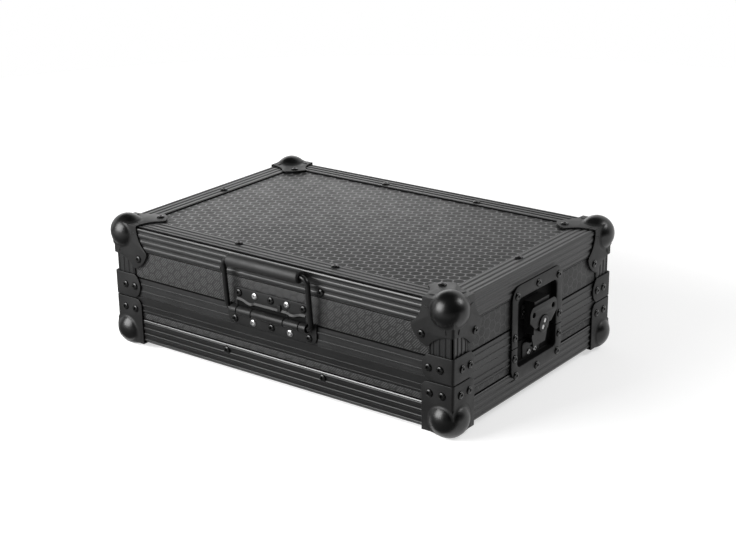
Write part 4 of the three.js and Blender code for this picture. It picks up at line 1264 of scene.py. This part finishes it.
def dark_card(name, place, target, width, height, value=0.011):
    """A black card that keeps the white studio out of the reflections. The camera doesn't see it."""
    data = bpy.data.meshes.new(name)
    corners = box_outline(-width / 2, -height / 2, width / 2, height / 2)
    data.from_pydata([(x, y, 0) for x, y in corners], [], [(0, 1, 2, 3)])
    card = aimed(name, data, place, target)
    card.visible_camera = False
    card.visible_diffuse = False
    card.visible_shadow = False
    shader = Shader(name)
    data.materials.append(shader.finish(worn(shader, value * 0.8, value * 1.2, 6), 0.9, 0.1))


def area_light(name, place, target, width, height, power, shine=True):
    """A lamp. Without shine it isn't seen in glossy surfaces."""
    data = bpy.data.lights.new(name, "AREA")
    data.shape = "RECTANGLE"
    data.size = width
    data.size_y = height
    data.energy = power
    aimed(name, data, place, target).visible_glossy = shine


def seen_directly(nodes):
    """1 for camera, glossy and transmission rays, 0 for the rest."""
    rays = nodes.node("ShaderNodeLightPath").outputs
    seen = nodes.math("MAXIMUM", rays["Is Camera Ray"], rays["Is Glossy Ray"])
    return nodes.math("MAXIMUM", seen, rays["Is Transmission Ray"])


def make_world():
    """A white surround that lights the case less than it shows."""
    world = bpy.data.worlds.new("studio")
    bpy.context.scene.world = world
    world.use_nodes = True
    nodes = Nodes(world.node_tree)
    background = nodes.tree.nodes["Background"].inputs
    nodes.feed(background["Color"], (1, 1, 1, 1))
    nodes.feed(background["Strength"], nodes.ramp(seen_directly(nodes), 0, 1, WORLD_LIGHT, 1))


def make_floor():
    """A round white floor that melts into the white background some way out from the case."""
    data = bpy.data.meshes.new("floor")
    ring = [(x, y, 0) for x, y in circle(0, 0, FLOOR_RADIUS, FLOOR_SIDES)]
    data.from_pydata(ring, [], [tuple(range(FLOOR_SIDES))])
    shader = Shader("floor")
    away = shader.vector("LENGTH", shader.object, output="Value")
    most = shader.ramp(away, 0.5, FLOOR_RADIUS - 0.1, FLOOR_GLOW, 1.0, smooth=True)
    glow = shader.math("MULTIPLY", seen_directly(shader), most)
    white = shader.finish(grey(0.58), 0.9, 0.0, Emission_Color=(1, 1, 1, 1), Emission_Strength=glow)
    data.materials.append(white)
    put("floor", data)


make_camera()
make_world()
make_floor()
for card in (
    ("card_front", (1.9, -2.4, 1.0), (0, 0, 1.0), 4.6, 2.6),
    ("card_left", (-2.0, -2.6, 1.0), (0, 0, 1.0), 4.4, 2.6),
    ("card_right", (3.1, 0.3, 1.0), (0, 0, 1.0), 3.2, 2.6),
    ("card_above", (0.2, -1.4, 2.3), (0.2, -1.4, 0), 7.6, 6.6),
    ("card_below_front", (-0.2, -1.79, 0.0006), (-0.2, -1.79, 1), 5.6, 3.22, 0.3),
    # darker strip next to the case: painted shade of the floor round it, seen only in reflections
    ("card_below_near", (-0.2, -0.27, 0.0012), (-0.2, -0.27, 1), 5.6, 0.2, 0.1),
    ("card_below_left", (-1.63, 0.41, 0.0006), (-1.63, 0.41, 1), 2.74, 1.18, 0.3),
):
    dark_card(*card)
for lamp in (
    ("key", (-0.66, -1.33, 0.70), (0, 0, 0.08), 1.1, 1.0, 38),
    ("side", (-1.25, -1.35, 0.80), (0, -0.1, 0.08), 0.35, 0.35, 34, False),
    ("back", (-1.8, 1.65, 0.75), (0, 0, 0.1), 1.6, 0.7, 4.5),
    ("rim", (1.1, 0.57, 1.15), (0, 0, 0.08), 0.6, 0.6, 10),
):
    area_light(*lamp)

bpy.context.scene.view_settings.view_transform = "Standard"
